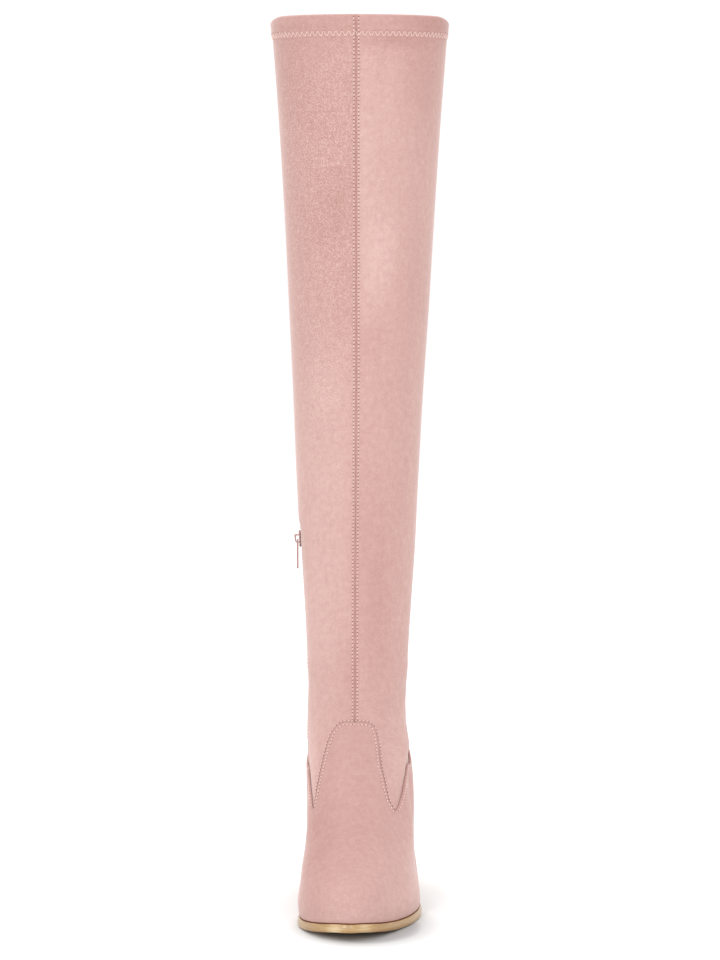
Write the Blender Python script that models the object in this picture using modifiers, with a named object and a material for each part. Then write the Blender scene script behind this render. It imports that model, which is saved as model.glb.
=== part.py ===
"""A left thigh high boot with a stacked block heel, standing empty on its sole.

The toe points to -Y, the outer side of the foot is +X and the zip is on the inner side, -X.
The origin is on the floor, under the centre of the heel tip. All lengths are in metres.

The whole upper is one form, a stack of rings from the feather line, where the upper meets the
sole, to the collar. A point on it has an angle round the leg (0 at the back, a quarter turn at
the inner side, a half turn at the front) and a level, counted in rings from the feather line.
"""

import math

import bmesh
import bpy
from mathutils import Matrix, Vector

# Foot and sole
FOOT_LENGTH = 0.232
HEEL_BACK = -0.031
BALL_INNER = 0.0381
BALL_OUTER = 0.0472
TOE_LEAN = -0.0045
SEAT_HEIGHT = 0.078
TOE_SPRING = 0.0060
SOLE_EDGE = 0.0062
SOLE_WAIST = 0.0036
SOLE_LIP = 0.0010
TREAD_DEPTH = 0.0010
TREAD_WIDTH = 0.0022
TREAD_PITCH = 0.0065
TREAD_MARGIN = 0.011
TREAD_COUNT = 7
INSOLE_THICKNESS = 0.0028
INSOLE_GAP = 0.0004

# Shares of the foot's length, from the back of the heel
TREAD_PLACE = 0.75
THICK_FROM = 0.68
THINNING = 0.22
WAIST_FROM = 0.08
WAIST_TO = 0.70
WAIST_EASE = 0.16
TOE_LEAN_FROM = 0.45

# Leg
ANKLE_HEIGHT = 0.158
ANKLE_WIDTH = 0.0776
ANKLE_FRONT = 0.062
ANKLE_BACK = -0.0275
COLLAR_HEIGHT = 0.668
COLLAR_WIDTH = 0.1349
COLLAR_LEAN = 0.0023
COLLAR_FRONT = 0.0835
COLLAR_BACK = -0.0545
CALF_BULGE = 0.0095
SHIN_HOLLOW = 0.0085

# Walls and clearances
UPPER_WALL = 0.0016
SHAFT_WALL = 0.0014
GAP = 0.0003
TUCK = 0.008
TUCK_SINK = 0.0004
HEM_HEIGHT = 0.0165
HEM_PROUD = 0.0006
HEM_WALL = 0.0032
HEM_STEP = 0.0012
HEM_ROUND = 0.0022

# Heel
HEEL_BREAST = 0.026
HEEL_TIP_THICKNESS = 0.0062
HEEL_FOOT_WIDTH = 0.0480
HEEL_FOOT_BACK = -0.0225
HEEL_FOOT_FRONT = 0.0225
HEEL_INSET = 0.0012
HEEL_WAISTING = 0.75
HEEL_STATIONS = 9
HEEL_ROWS = 6

# Zip
ZIP_TOP = 0.276
ZIP_SLIT = 0.0080
ZIP_HOLLOW = 0.0014
HOLLOW_END = 0.011
HOLLOW_LEVEL = 5
HOLLOW_DEGREES = 24
ZIP_CHAIN_WIDTH = 0.0058
ZIP_TAPE_THICKNESS = 0.0007
SLIDER_LENGTH = 0.0125
SLIDER_TOP_WIDTH = 0.0088
SLIDER_LOW_WIDTH = 0.0068
SLIDER_PLATE = 0.0014
CROWN_WIDTH = 0.0020
CROWN_WALL = 0.0009
CROWN_SPAN = 0.0047
PULL_LENGTH = 0.0220
PULL_WIDTH = 0.0056
PULL_THICKNESS = 0.0013
PULL_CLEARANCE = 0.00025
PULL_CORNER = 0.0016
WINDOW_CLEARANCE = 0.0004
CROWN_ROUNDING = 0.00054

COLUMNS = 72
TUCK_STEP = 0.5
TAPE_COLUMNS = 3
INNER_SIDE = math.radians(90)

# The sole's top line: share of the foot's length from the heel, share of the seat's rise, share
# of the toe spring.
SOLE_LINE = (
    (0.000, 1.000, 0.00),
    (0.100, 0.955, 0.00),
    (0.200, 0.880, 0.00),
    (0.285, 0.765, 0.00),
    (0.370, 0.590, 0.00),
    (0.457, 0.380, 0.00),
    (0.530, 0.205, 0.00),
    (0.595, 0.075, 0.00),
    (0.650, 0.013, 0.00),
    (0.700, 0.000, 0.00),
    (0.780, 0.000, 0.00),
    (0.850, 0.000, 0.10),
    (0.920, 0.000, 0.42),
    (1.000, 0.000, 1.00),
)

# The feather line in plan: share of the foot's length, then how full the inner and the outer
# side are against an ellipse of the foot's length and the ball's half width.
FULLNESS = (
    (0.00, 1.42, 1.18),
    (0.05, 1.28, 1.07),
    (0.12, 1.08, 0.89),
    (0.20, 0.88, 0.74),
    (0.30, 0.67, 0.66),
    (0.40, 0.57, 0.67),
    (0.50, 0.64, 0.79),
    (0.60, 0.85, 0.975),
    (0.66, 1.00, 1.05),
    (0.72, 1.10, 1.07),
    (0.78, 1.20, 1.06),
    (0.84, 1.265, 1.02),
    (0.90, 1.29, 0.985),
    (1.00, 1.33, 0.96),
)

# The rings of the foot, from the feather line to the ankle: front along the foot's length, front
# up from the toe to the ankle, back along the foot's length, back up from the seat to the ankle,
# half widths against the ball's (inner, outer), how far the ends of the outline have turned into
# an ellipse, how far its waist has, and how much of the sole's own curve the ring still has.
FOOT_RINGS = (
    (1.000, 0.000, 0.000, 0.00, 1.000, 1.000, 0.00, 0.00, 1.00),
    (1.002, 0.085, -0.010, 0.14, 1.017, 0.995, 0.00, 0.45, 1.00),
    (0.980, 0.152, -0.016, 0.28, 0.986, 0.936, 0.05, 0.64, 1.00),
    (0.929, 0.203, -0.016, 0.40, 0.979, 0.906, 0.16, 0.84, 0.96),
    (0.838, 0.268, -0.013, 0.51, 0.947, 0.888, 0.32, 0.97, 0.90),
    (0.732, 0.368, -0.007, 0.61, 0.934, 0.818, 0.52, 1.10, 0.80),
    (0.624, 0.504, -0.001, 0.70, 0.995, 0.840, 0.72, 1.00, 0.62),
    (0.526, 0.662, 0.004, 0.79, 1.012, 0.825, 0.88, 1.00, 0.40),
    (0.449, 0.830, 0.010, 0.89, 1.020, 0.802, 0.97, 1.00, 0.18),
)

# The rings of the leg: share of the way from the ankle to the collar, then how far the width,
# the front, the back and the outward lean have gone from the ankle's to the collar's, and the
# shares of the calf's bulge and of the hollow over the ankle.
LEG_RINGS = (
    (0.000, 0.000, 0.000, 0.000, 0.00, 0.00, 0.00),
    (0.055, 0.038, 0.020, 0.020, 0.05, 0.00, 0.65),
    (0.120, 0.103, 0.070, 0.070, 0.15, 0.10, 1.00),
    (0.210, 0.200, 0.150, 0.160, 0.20, 0.45, 1.00),
    (0.320, 0.295, 0.270, 0.290, 0.25, 0.85, 0.80),
    (0.440, 0.393, 0.410, 0.420, 0.45, 1.00, 0.55),
    (0.570, 0.520, 0.560, 0.550, 0.75, 0.70, 0.30),
    (0.700, 0.640, 0.700, 0.690, 0.92, 0.35, 0.12),
    (0.830, 0.778, 0.835, 0.830, 1.00, 0.10, 0.04),
    (0.930, 0.906, 0.935, 0.930, 1.05, 0.02, 0.00),
    (1.000, 1.000, 1.000, 1.000, 1.00, 0.00, 0.00),
)
ANKLE_LEVEL = len(FOOT_RINGS)
TOP_LEVEL = ANKLE_LEVEL + len(LEG_RINGS) - 1

# The upper's top edge: degrees from the back of the heel, then the level on the inner and on the
# outer side. It is high round the heel, dips to a notch in front of the ankle on each side and
# rises steeply to the tongue over the instep.
EDGE_LINE = (
    (0, 5.30, 5.30),
    (40, 5.15, 5.15),
    (80, 4.86, 4.62),
    (95, 5.19, 5.17),
    (101, 5.37, 5.46),
    (112, 5.70, 5.49),
    (119, 5.62, 5.29),
    (124, 5.44, 5.18),
    (129, 5.22, 5.16),
    (135, 5.69, 5.40),
    (140, 6.36, 5.63),
    (144, 6.92, 5.93),
    (148, 7.38, 6.34),
    (152, 7.68, 6.78),
    (155, 7.83, 7.44),
    (160, 8.00, 7.93),
    (168, 8.11, 8.09),
    (180, 8.13, 8.13),
)

# The upper's rows, as shares of the way up to its edge, and the shaft's rows below the ankle, as
# shares of the way up from its tucked edge.
UPPER_ROWS = (0.0, 0.09, 0.18, 0.27, 0.36, 0.46, 0.56, 0.66, 0.77, 0.885, 1.0)
TUCKED_ROWS = (0.0, 0.14, 0.30, 0.47, 0.65, 0.83)

# Half of the slider's outline: shares of its low half width, its top half width and its half
# length, from its low end up.
SLIDER_OUTLINE = (
    (0.72, 0.00, -1.00),
    (1.00, 0.00, -0.80),
    (1.00, 0.00, -0.24),
    (0.00, 1.00, 0.50),
    (0.00, 1.00, 0.82),
    (0.00, 0.75, 1.00),
)


def lerp(a, b, share):
    return a + (b - a) * share


def clamp(value, low, high):
    return max(low, min(high, value))


def smooth(share):
    """Eases a share from 0 to 1."""
    share = clamp(share, 0.0, 1.0)
    return share * share * (3 - 2 * share)


def curve(table, x, column):
    """A table's column at x, as a cubic through its rows that never overshoots them."""
    xs = [row[0] for row in table]
    ys = [row[column] for row in table]
    last = len(xs) - 1
    x = clamp(x, xs[0], xs[last])
    i = max(k for k in range(last) if xs[k] <= x)

    def slope(k):
        if k in (0, last):
            near = 0 if k == 0 else last - 1
            return (ys[near + 1] - ys[near]) / (xs[near + 1] - xs[near])
        before = (ys[k] - ys[k - 1]) / (xs[k] - xs[k - 1])
        after = (ys[k + 1] - ys[k]) / (xs[k + 1] - xs[k])
        if before * after <= 0:
            return 0.0
        return 2 * before * after / (before + after)

    width = xs[i + 1] - xs[i]
    t = (x - xs[i]) / width
    rise = smooth(t)
    return (
        lerp(ys[i], ys[i + 1], rise)
        + slope(i) * width * t * (1 - t) ** 2
        - slope(i + 1) * width * t * t * (1 - t)
    )


def along_foot(forward):
    """The share of the foot's length at a forward position, 0 at the heel's back."""
    return clamp((forward - HEEL_BACK) / FOOT_LENGTH, 0.0, 1.0)


def sole_top(forward):
    share = along_foot(forward)
    rise = curve(SOLE_LINE, share, 1) * (SEAT_HEIGHT - SOLE_EDGE)
    return SOLE_EDGE + rise + curve(SOLE_LINE, share, 2) * TOE_SPRING


def sole_bottom(forward):
    thinned = smooth((THICK_FROM - along_foot(forward)) / THINNING)
    thickness = lerp(SOLE_EDGE, SOLE_WAIST, thinned)
    return sole_top(forward) - thickness


def sag(forward):
    """How far the sole's top lies above the straight line from the heel's back to the toe."""
    straight = lerp(sole_top(HEEL_BACK), sole_top(HEEL_BACK + FOOT_LENGTH), along_foot(forward))
    return sole_top(forward) - straight


def foot_ring(row):
    """A ring's sizes: front and back (forward, height), half widths, then its three shares."""
    toe_height = sole_top(HEEL_BACK + FOOT_LENGTH) + GAP
    seat_height = sole_top(HEEL_BACK) + GAP
    return (
        HEEL_BACK + row[0] * FOOT_LENGTH,
        lerp(toe_height, ANKLE_HEIGHT, row[1]),
        HEEL_BACK + row[2] * FOOT_LENGTH,
        lerp(seat_height, ANKLE_HEIGHT, row[3]),
        row[4] * BALL_INNER,
        row[5] * BALL_OUTER,
        *row[6:],
    )


def leg_ring(row):
    height = lerp(ANKLE_HEIGHT, COLLAR_HEIGHT, row[0])
    half = lerp(ANKLE_WIDTH, COLLAR_WIDTH, row[1]) / 2
    lean = COLLAR_LEAN * row[4]
    front = lerp(ANKLE_FRONT, COLLAR_FRONT, row[2]) - row[6] * SHIN_HOLLOW
    back = lerp(ANKLE_BACK, COLLAR_BACK, row[3]) - row[5] * CALF_BULGE
    return (front, height, back, height, half - lean, half + lean, 1.0, 1.0, 0.0)


RINGS = [foot_ring(row) for row in FOOT_RINGS] + [leg_ring(row) for row in LEG_RINGS]


def ring_at(level):
    """The sizes of the ring at any level, as a smooth curve through the rings."""
    level = clamp(level, 0.0, TOP_LEVEL)
    i = min(int(level), len(RINGS) - 2)
    t = level - i
    rows = [RINGS[clamp(i + k, 0, len(RINGS) - 1)] for k in (-1, 0, 1, 2)]
    weights = (
        -0.5 * t + t * t - 0.5 * t**3,
        1 - 2.5 * t * t + 1.5 * t**3,
        0.5 * t + 2 * t * t - 1.5 * t**3,
        -0.5 * t * t + 0.5 * t**3,
    )
    return [sum(w * row[c] for w, row in zip(weights, rows)) for c in range(len(RINGS[0]))]


def zip_hollow(angle, level):
    """How far the closed zip holds the stretch fabric in, at an angle and level."""
    beside = (angle - INNER_SIDE) / math.radians(HOLLOW_DEGREES)
    height = ring_at(level)[1]
    below_slider = smooth((ZIP_TOP + HOLLOW_END - height) / HOLLOW_END)
    above_foot = smooth((level - HOLLOW_LEVEL) / (ANKLE_LEVEL - HOLLOW_LEVEL))
    return ZIP_HOLLOW * math.exp(-beside * beside) * below_slider * above_foot


def form(angle, level):
    """A point of the upper's form at that angle and level."""
    front, front_z, back, back_z, inner, outer, ellipse, filled, sagging = ring_at(level)
    share = (1 - math.cos(angle)) / 2
    side = math.sin(angle)
    column, half = (1, inner) if side > 0 else (2, outer)
    waist = smooth((share - WAIST_FROM) / WAIST_EASE) * smooth((WAIST_TO - share) / WAIST_EASE)
    full = lerp(curve(FULLNESS, share, column), 1.0, lerp(ellipse, filled, waist))
    half -= zip_hollow(angle, level)
    lean = TOE_LEAN * smooth((share - TOE_LEAN_FROM) / (1 - TOE_LEAN_FROM)) * (1 - ellipse)
    forward = lerp(back, front, share)
    extra = sag(forward) - lerp(sag(back), sag(front), share)
    height = lerp(back_z, front_z, share) + sagging * extra
    return Vector((lean - side * half * full, -forward, height))


def outward(angle, level):
    """The form's outward normal, level at the feather line."""
    step = 1e-3
    low, high = max(level - step, 0.0), min(level + step, TOP_LEVEL)
    round_it = form(angle + step, level) - form(angle - step, level)
    up_it = form(angle, high) - form(angle, low)
    normal = round_it.cross(up_it).normalized()
    normal.z *= smooth(level)
    return normal.normalized()


def skin(angle, level, offset):
    """A point that lies offset outside the form. Near the feather line it follows the sole."""
    on_form = form(angle, level)
    point = on_form + outward(angle, level) * offset
    point.z += (1 - smooth(level)) * (sole_top(-point.y) - sole_top(-on_form.y))
    return point


def edge_level(angle):
    """The level of the upper's top edge at that angle."""
    degrees = math.degrees(angle) % 360
    if degrees <= 180:
        return curve(EDGE_LINE, degrees, 1)
    return curve(EDGE_LINE, 360 - degrees, 2)


def level_at(height):
    """The level of the leg's ring at that height."""
    low, high = ANKLE_LEVEL, TOP_LEVEL
    for _ in range(40):
        middle = (low + high) / 2
        if ring_at(middle)[1] < height:
            low = middle
        else:
            high = middle
    return low


def material(name, colour, roughness, metallic=0.0):
    made = bpy.data.materials.new(name)
    made.use_nodes = True
    shader = made.node_tree.nodes["Principled BSDF"]
    shader.inputs["Base Color"].default_value = (*colour, 1)
    shader.inputs["Roughness"].default_value = roughness
    shader.inputs["Metallic"].default_value = metallic
    return made


def add_object(name, bm, finish, collection):
    """Makes an object of the bmesh. A closed one gets its faces turned outward."""
    if all(edge.is_manifold for edge in bm.edges):
        bmesh.ops.recalc_face_normals(bm, faces=bm.faces)
    mesh = bpy.data.meshes.new(name)
    bm.to_mesh(mesh)
    bm.free()
    mesh.materials.append(finish)
    mesh.shade_smooth()
    mesh.set_sharp_from_angle(angle=math.radians(40))
    made = bpy.data.objects.new(name, mesh)
    collection.objects.link(made)
    return made


def shell(name, grid, walls, finish, collection, is_open=lambda i, j: False):
    """A wall inside a grid of points, whose rows run round and close on themselves.

    walls has each row's thickness. is_open(i, j) leaves out the cell above row i after column j."""
    bm = bmesh.new()
    columns = len(grid[0])
    verts = [[bm.verts.new(point) for point in row] for row in grid]
    for i in range(len(grid) - 1):
        for j in range(columns):
            if not is_open(i, j):
                k = (j + 1) % columns
                bm.faces.new((verts[i][j], verts[i][k], verts[i + 1][k], verts[i + 1][j]))
    made = add_object(name, bm, finish, collection)
    thickest = max(walls)
    group = made.vertex_groups.new(name="wall")
    for i, wall in enumerate(walls):
        group.add(list(range(i * columns, (i + 1) * columns)), wall / thickest, "REPLACE")
    solid = made.modifiers.new("wall", "SOLIDIFY")
    solid.thickness = thickest
    solid.offset = -1
    solid.vertex_group = group.name
    return made


def tube(name, loops, finish, collection):
    """A solid through closed loops of points, with a flat face at each end."""
    bm = bmesh.new()
    made = [[bm.verts.new(p) for p in loop] for loop in loops]
    count = len(loops[0])
    for low, high in zip(made, made[1:]):
        for j in range(count):
            k = (j + 1) % count
            bm.faces.new((low[j], low[k], high[k], high[j]))
    bm.faces.new(made[0])
    bm.faces.new(made[-1])
    return add_object(name, bm, finish, collection)


def upper_piece(finish, collection):
    """Vamp and counter in one: a wall from the feather line to the tongue shaped edge."""
    angles = [2 * math.pi * j / COLUMNS for j in range(COLUMNS)]
    grid = [[skin(a, edge_level(a) * up, GAP + UPPER_WALL) for a in angles] for up in UPPER_ROWS]
    shell("upper", grid, [UPPER_WALL] * len(grid), finish, collection)


def tuck_level(angle):
    """The level of the shaft's lower edge, tucked behind the upper's top edge."""
    edge, step = edge_level(angle), TUCK_STEP
    spacing = (form(angle, edge) - form(angle, edge - step)).length / step
    return edge - TUCK / spacing


def shaft_rows():
    """Each row of the shaft: how it is placed, its share or level, how proud it is, its wall."""
    hem = COLLAR_HEIGHT - HEM_HEIGHT
    rows = []
    for share in TUCKED_ROWS:
        sunk = TUCK_SINK * (1 - smooth(2 * share))
        rows.append(("tuck", share, -sunk, SHAFT_WALL))
    levels = [ANKLE_LEVEL + step for step in (0, 0.8, 1.8)]
    levels += [level_at(ZIP_TOP + step) for step in (-SLIDER_LENGTH, 0, HOLLOW_END)]
    levels += [ANKLE_LEVEL + step for step in (4, 5, 6, 7, 8)]
    levels.append(level_at(hem))
    rows += [("level", level, 0.0, SHAFT_WALL) for level in levels]
    rows.append(("level", level_at(hem + HEM_STEP), HEM_PROUD, HEM_WALL))
    for turn in (0, 45, 80):
        inward = HEM_ROUND * (1 - math.cos(math.radians(turn)))
        down = HEM_ROUND * (1 - math.sin(math.radians(turn)))
        wall = HEM_WALL - inward - min(inward, HEM_WALL / 4)
        rows.append(("level", level_at(COLLAR_HEIGHT - down), HEM_PROUD - inward, wall))
    return rows


def arc_at_zip(level):
    """Metres of the form per radian of angle at the zip."""
    step = 0.01
    span = form(INNER_SIDE + step, level) - form(INNER_SIDE - step, level)
    return span.length / (2 * step)


def row_level(row, angle):
    """The level of a shaft row at an angle."""
    if row[0] == "tuck":
        return lerp(tuck_level(angle), ANKLE_LEVEL, row[1])
    return row[1]


def slit_angle(row, side):
    """The angle of the slit's front side (side 1) or back side (side -1) in a row."""
    angle = INNER_SIDE
    for _ in range(4):
        angle = INNER_SIDE + side * ZIP_SLIT / 2 / arc_at_zip(row_level(row, angle))
    return angle


def shaft_piece(finish, collection):
    """The leg, in one wall, with the zip's slit between its first and second column."""
    rows = shaft_rows()
    round_leg = [INNER_SIDE + 2 * math.pi * j / COLUMNS for j in range(2, COLUMNS - 1)]
    slit_top = next(i for i, row in enumerate(rows) if row[1] == level_at(ZIP_TOP))
    grid = []
    for row in rows:
        angles = [slit_angle(row, -1), slit_angle(row, 1)] + round_leg
        grid.append([skin(a, row_level(row, a), row[2]) for a in angles])
    walls = [row[3] for row in rows]
    shell("shaft", grid, walls, finish, collection, lambda i, j: j == 0 and i < slit_top)


def outline(angle, offset):
    """A point of the feather line in plan, moved out by offset, as (x, forward)."""
    flat = outward(angle, 0.0)
    point = form(angle, 0.0)
    return point.x + flat.x * offset, -(point.y + flat.y * offset)


def plate(name, offset, top, bottom, finish, collection):
    """A sole shaped solid between two heights, which are functions of the forward position."""
    bm = bmesh.new()
    stations = COLUMNS // 2

    def ladder(height):
        rungs = []
        for k in range(stations + 1):
            angle = math.pi * k / stations
            inner = outline(angle, offset)
            if k in (0, stations):
                rungs.append([bm.verts.new((inner[0], -inner[1], height(inner[1])))])
                continue
            outer = outline(2 * math.pi - angle, offset)
            ends = (inner, ((inner[0] + outer[0]) / 2, (inner[1] + outer[1]) / 2), outer)
            rungs.append([bm.verts.new((x, -f, height(f))) for x, f in ends])
        return rungs

    layers = [ladder(top), ladder(bottom)]
    for rungs in layers:
        for low, high in zip(rungs, rungs[1:]):
            for j in (0, 1):
                corners = [low[j], low[j + 1]] if len(low) > 1 else [low[0]]
                corners += [high[j + 1], high[j]] if len(high) > 1 else [high[0]]
                bm.faces.new(corners)
    for side in (0, -1):
        for k in range(stations):
            low, high = (layers[0][k][side], layers[0][k + 1][side])
            bm.faces.new((low, high, layers[1][k + 1][side], layers[1][k][side]))
    return add_object(name, bm, finish, collection)


def cut_tread(sole, cutters):
    """Shallow ribs across the flat of the forefoot."""
    middle = HEEL_BACK + TREAD_PLACE * FOOT_LENGTH
    width = BALL_INNER + BALL_OUTER - 2 * TREAD_MARGIN
    for k in range(TREAD_COUNT):
        forward = middle + (k - (TREAD_COUNT - 1) / 2) * TREAD_PITCH
        bpy.ops.mesh.primitive_cube_add(size=1, location=((BALL_OUTER - BALL_INNER) / 2, -forward, 0))
        cutter = bpy.context.object
        cutter.name = f"tread_cutter_{k}"
        cutter.scale = (width, TREAD_WIDTH, 2 * TREAD_DEPTH)
        as_cutter(cutter)
        for owner in cutter.users_collection:
            owner.objects.unlink(cutter)
        cutters.objects.link(cutter)
        boolean(sole, cutter, "DIFFERENCE")


def heel_outline():
    """The heel's top in plan, from the breast's inner end round the back to its outer end."""
    offset = GAP + UPPER_WALL + SOLE_LIP - HEEL_INSET
    breast_angle = math.acos(1 - 2 * along_foot(HEEL_BREAST))
    angles = [breast_angle * (1 - k / HEEL_STATIONS) for k in range(HEEL_STATIONS)]
    inner = [outline(angle, offset) for angle in angles]
    outer = [outline(2 * math.pi - angle, offset) for angle in reversed(angles)]
    return inner + [outline(0.0, offset)] + outer


def heel_pieces(stack, rubber, collection):
    """The block, whose top follows the seat, and the flat tip that stands on the floor."""
    seat = heel_outline()
    wide = max(x for x, _ in seat) - min(x for x, _ in seat)
    middle = (max(x for x, _ in seat) + min(x for x, _ in seat)) / 2
    back, front = min(f for _, f in seat), max(f for _, f in seat)
    foot = []
    for x, forward in seat:
        low_forward = lerp(HEEL_FOOT_BACK, HEEL_FOOT_FRONT, (forward - back) / (front - back))
        foot.append(((x - middle) / wide * HEEL_FOOT_WIDTH, low_forward))
    bottom = HEEL_TIP_THICKNESS + GAP
    loops = []
    for k in range(HEEL_ROWS + 1):
        down = k / HEEL_ROWS
        taper = down**HEEL_WAISTING
        loop = []
        for (x, forward), (low_x, low_forward) in zip(seat, foot):
            height = lerp(sole_bottom(forward) - GAP, bottom, down)
            loop.append((lerp(x, low_x, taper), -lerp(forward, low_forward, taper), height))
        loops.append(loop)
    tube("heel", loops, stack, collection)
    tip = [[(x, -forward, height) for x, forward in foot] for height in (HEEL_TIP_THICKNESS, 0)]
    tube("heel_tip", tip, rubber, collection)


def zip_chain_piece(finish, collection):
    """The woven tape behind the slit, with the closed chain of teeth standing in the slit."""
    tape_out = -(SHAFT_WALL + GAP)
    tape_in = tape_out - ZIP_TAPE_THICKNESS
    chain = ZIP_CHAIN_WIDTH / 2
    beside = [2 * math.pi * step / COLUMNS for step in range(2, TAPE_COLUMNS + 1)]
    loops = []
    for row in shaft_rows():
        top = row[1] == level_at(ZIP_TOP)
        flat = chain / arc_at_zip(row_level(row, INNER_SIDE))
        slit = slit_angle(row, 1) - INNER_SIDE
        half = [(flat, 0.0), (flat, tape_out), (slit, tape_out)]
        half += [(turn, tape_out) for turn in beside]
        half += [(turn, tape_in) for turn in reversed(beside)]
        half += [(slit, tape_in)]
        section = half + [(-turn, offset) for turn, offset in reversed(half)]
        loop = []
        for turn, offset in section:
            angle = INNER_SIDE + turn
            level = level_at(ZIP_TOP - GAP) if top else row_level(row, angle)
            loop.append(skin(angle, level, row[2] + offset))
        loops.append(loop)
        if top:
            break
    tube("zip_chain", loops, finish, collection)


def slider_frame():
    """Axes at the middle of the slider's back, on the chain: X outward, Y across, Z up the zip."""
    top = skin(INNER_SIDE, level_at(ZIP_TOP), GAP)
    low = skin(INNER_SIDE, level_at(ZIP_TOP - SLIDER_LENGTH), GAP)
    up = Vector((top.x - low.x, 0, top.z - low.z)).normalized()
    across = Vector((0, -1, 0))
    out = across.cross(up)
    frame = Matrix((out, across, up)).transposed().to_4x4()
    frame.translation = (top + low) / 2
    return frame


def pivot_height():
    """The height of the pull's bar over the slider's plate, which lets its corners turn."""
    return PULL_THICKNESS * math.sqrt(0.5) + PULL_CLEARANCE


def pivot_place():
    """The pull's bar in the slider's axes. The bar rests on the crown's lower leg."""
    crown_low = -(CROWN_SPAN / 2 + CROWN_WALL)
    return Vector((SLIDER_PLATE + pivot_height(), 0, crown_low + CROWN_WALL + pivot_height()))


def add_box(bm, low, high):
    """A box between two corners."""
    low, high = Vector(low), Vector(high)
    size = Matrix.Diagonal((*(high - low), 1))
    bmesh.ops.create_cube(bm, size=1, matrix=Matrix.Translation((low + high) / 2) @ size)


def box_object(name, low, high, finish, collection):
    bm = bmesh.new()
    add_box(bm, low, high)
    return add_object(name, bm, finish, collection)


def as_cutter(piece):
    piece.hide_render = True
    piece.display_type = "WIRE"
    return piece


def boolean(piece, other, operation):
    cut = piece.modifiers.new(operation.lower(), "BOOLEAN")
    cut.operation = operation
    cut.object = other


def slider_piece(metal, boot, cutters):
    """The slider's front plate, wider at its top, and the crown that the pull hangs in."""
    frame = slider_frame()
    half_plate = []
    for low_share, top_share, end_share in SLIDER_OUTLINE:
        half_width = (low_share * SLIDER_LOW_WIDTH + top_share * SLIDER_TOP_WIDTH) / 2
        half_plate.append((half_width, end_share * SLIDER_LENGTH / 2))
    both = half_plate + [(-y, z) for y, z in reversed(half_plate)]
    loops = [[(x, y, z) for y, z in both] for x in (0, SLIDER_PLATE)]
    slider = tube("zip_slider", loops, metal, boot)
    inner = CROWN_SPAN / 2
    crown_top = SLIDER_PLATE + 2 * pivot_height() + CROWN_WALL
    crown = box_object(
        "crown",
        (SLIDER_PLATE / 2, -CROWN_WIDTH / 2, -inner - CROWN_WALL),
        (crown_top, CROWN_WIDTH / 2, inner + CROWN_WALL),
        metal,
        cutters,
    )
    window = box_object(
        "crown_window",
        (SLIDER_PLATE, -CROWN_WIDTH, -inner),
        (crown_top - CROWN_WALL, CROWN_WIDTH, inner),
        metal,
        cutters,
    )
    rounding = crown.modifiers.new("rounding", "BEVEL")
    rounding.width = CROWN_ROUNDING
    rounding.segments = 2
    boolean(crown, as_cutter(window), "DIFFERENCE")
    boolean(slider, as_cutter(crown), "UNION")
    for piece in (slider, crown, window):
        piece.matrix_world = frame


def pull_piece(metal, boot, cutters):
    """The flat tab, with a window that the crown stands in, hanging plumb from its bar."""
    half, thick = PULL_WIDTH / 2, PULL_THICKNESS / 2
    rail = (PULL_WIDTH - CROWN_WIDTH) / 2 - WINDOW_CLEARANCE
    window_end = math.hypot(CROWN_SPAN + CROWN_WALL, 2 * pivot_height()) + PULL_CLEARANCE
    pull = box_object("zip_pull", (-thick, -half, -PULL_LENGTH), (thick, half, thick), metal, boot)
    corners = pull.modifiers.new("corners", "BEVEL")
    corners.limit_method = "WEIGHT"
    corners.width = PULL_CORNER
    corners.segments = 4
    weights = pull.data.attributes.new("bevel_weight_edge", "FLOAT", "EDGE")
    for edge, weight in zip(pull.data.edges, weights.data):
        a, b = (pull.data.vertices[i].co for i in edge.vertices)
        weight.value = 1.0 if abs(a.x - b.x) > thick and a.z < -thick else 0.0
    window = box_object(
        "pull_window",
        (-PULL_WIDTH, rail - half, -window_end),
        (PULL_WIDTH, half - rail, -thick),
        metal,
        cutters,
    )
    boolean(pull, as_cutter(window), "DIFFERENCE")
    place = slider_frame() @ pivot_place()
    for piece in (pull, window):
        piece.location = place


def main():
    for old in list(bpy.data.objects):
        bpy.data.objects.remove(old)
    boot = bpy.data.collections.new("thigh_high_boot")
    cutters = bpy.data.collections.new("cutters")
    bpy.context.scene.collection.children.link(boot)
    bpy.context.scene.collection.children.link(cutters)

    suede = material("suede", (0.69, 0.42, 0.38), 0.9)
    lining = material("lining", (0.74, 0.60, 0.53), 0.85)
    stack = material("stacked_edge", (0.62, 0.42, 0.20), 0.35)
    rubber = material("heel_rubber", (0.33, 0.22, 0.13), 0.6)
    tape = material("zip_tape", (0.66, 0.40, 0.36), 0.8)
    metal = material("zip_metal", (0.72, 0.50, 0.44), 0.3, 1.0)

    upper_piece(suede, boot)
    shaft_piece(suede, boot)
    sole = plate("outsole", GAP + UPPER_WALL + SOLE_LIP, sole_top, sole_bottom, stack, boot)
    cut_tread(sole, cutters)
    plate(
        "insole",
        0.0,
        lambda f: sole_top(f) + INSOLE_GAP + INSOLE_THICKNESS,
        lambda f: sole_top(f) + INSOLE_GAP,
        lining,
        boot,
    )
    heel_pieces(stack, rubber, boot)
    zip_chain_piece(tape, boot)
    slider_piece(metal, boot, cutters)
    pull_piece(metal, boot, cutters)


main()
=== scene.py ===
"""The looks of a left thigh high boot in pale pink suede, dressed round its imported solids.

Lengths are in metres and the frame is the part's own: toe to -Y, outer side of the foot +X,
+Z up. A point on the boot has an angle round the leg (0 at the back, a quarter turn at the inner
side, a half turn at the front) and a level, counted in rings from the feather line.
"""

import math

import bmesh
import bpy
import numpy as np
from mathutils import Matrix, Vector


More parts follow.
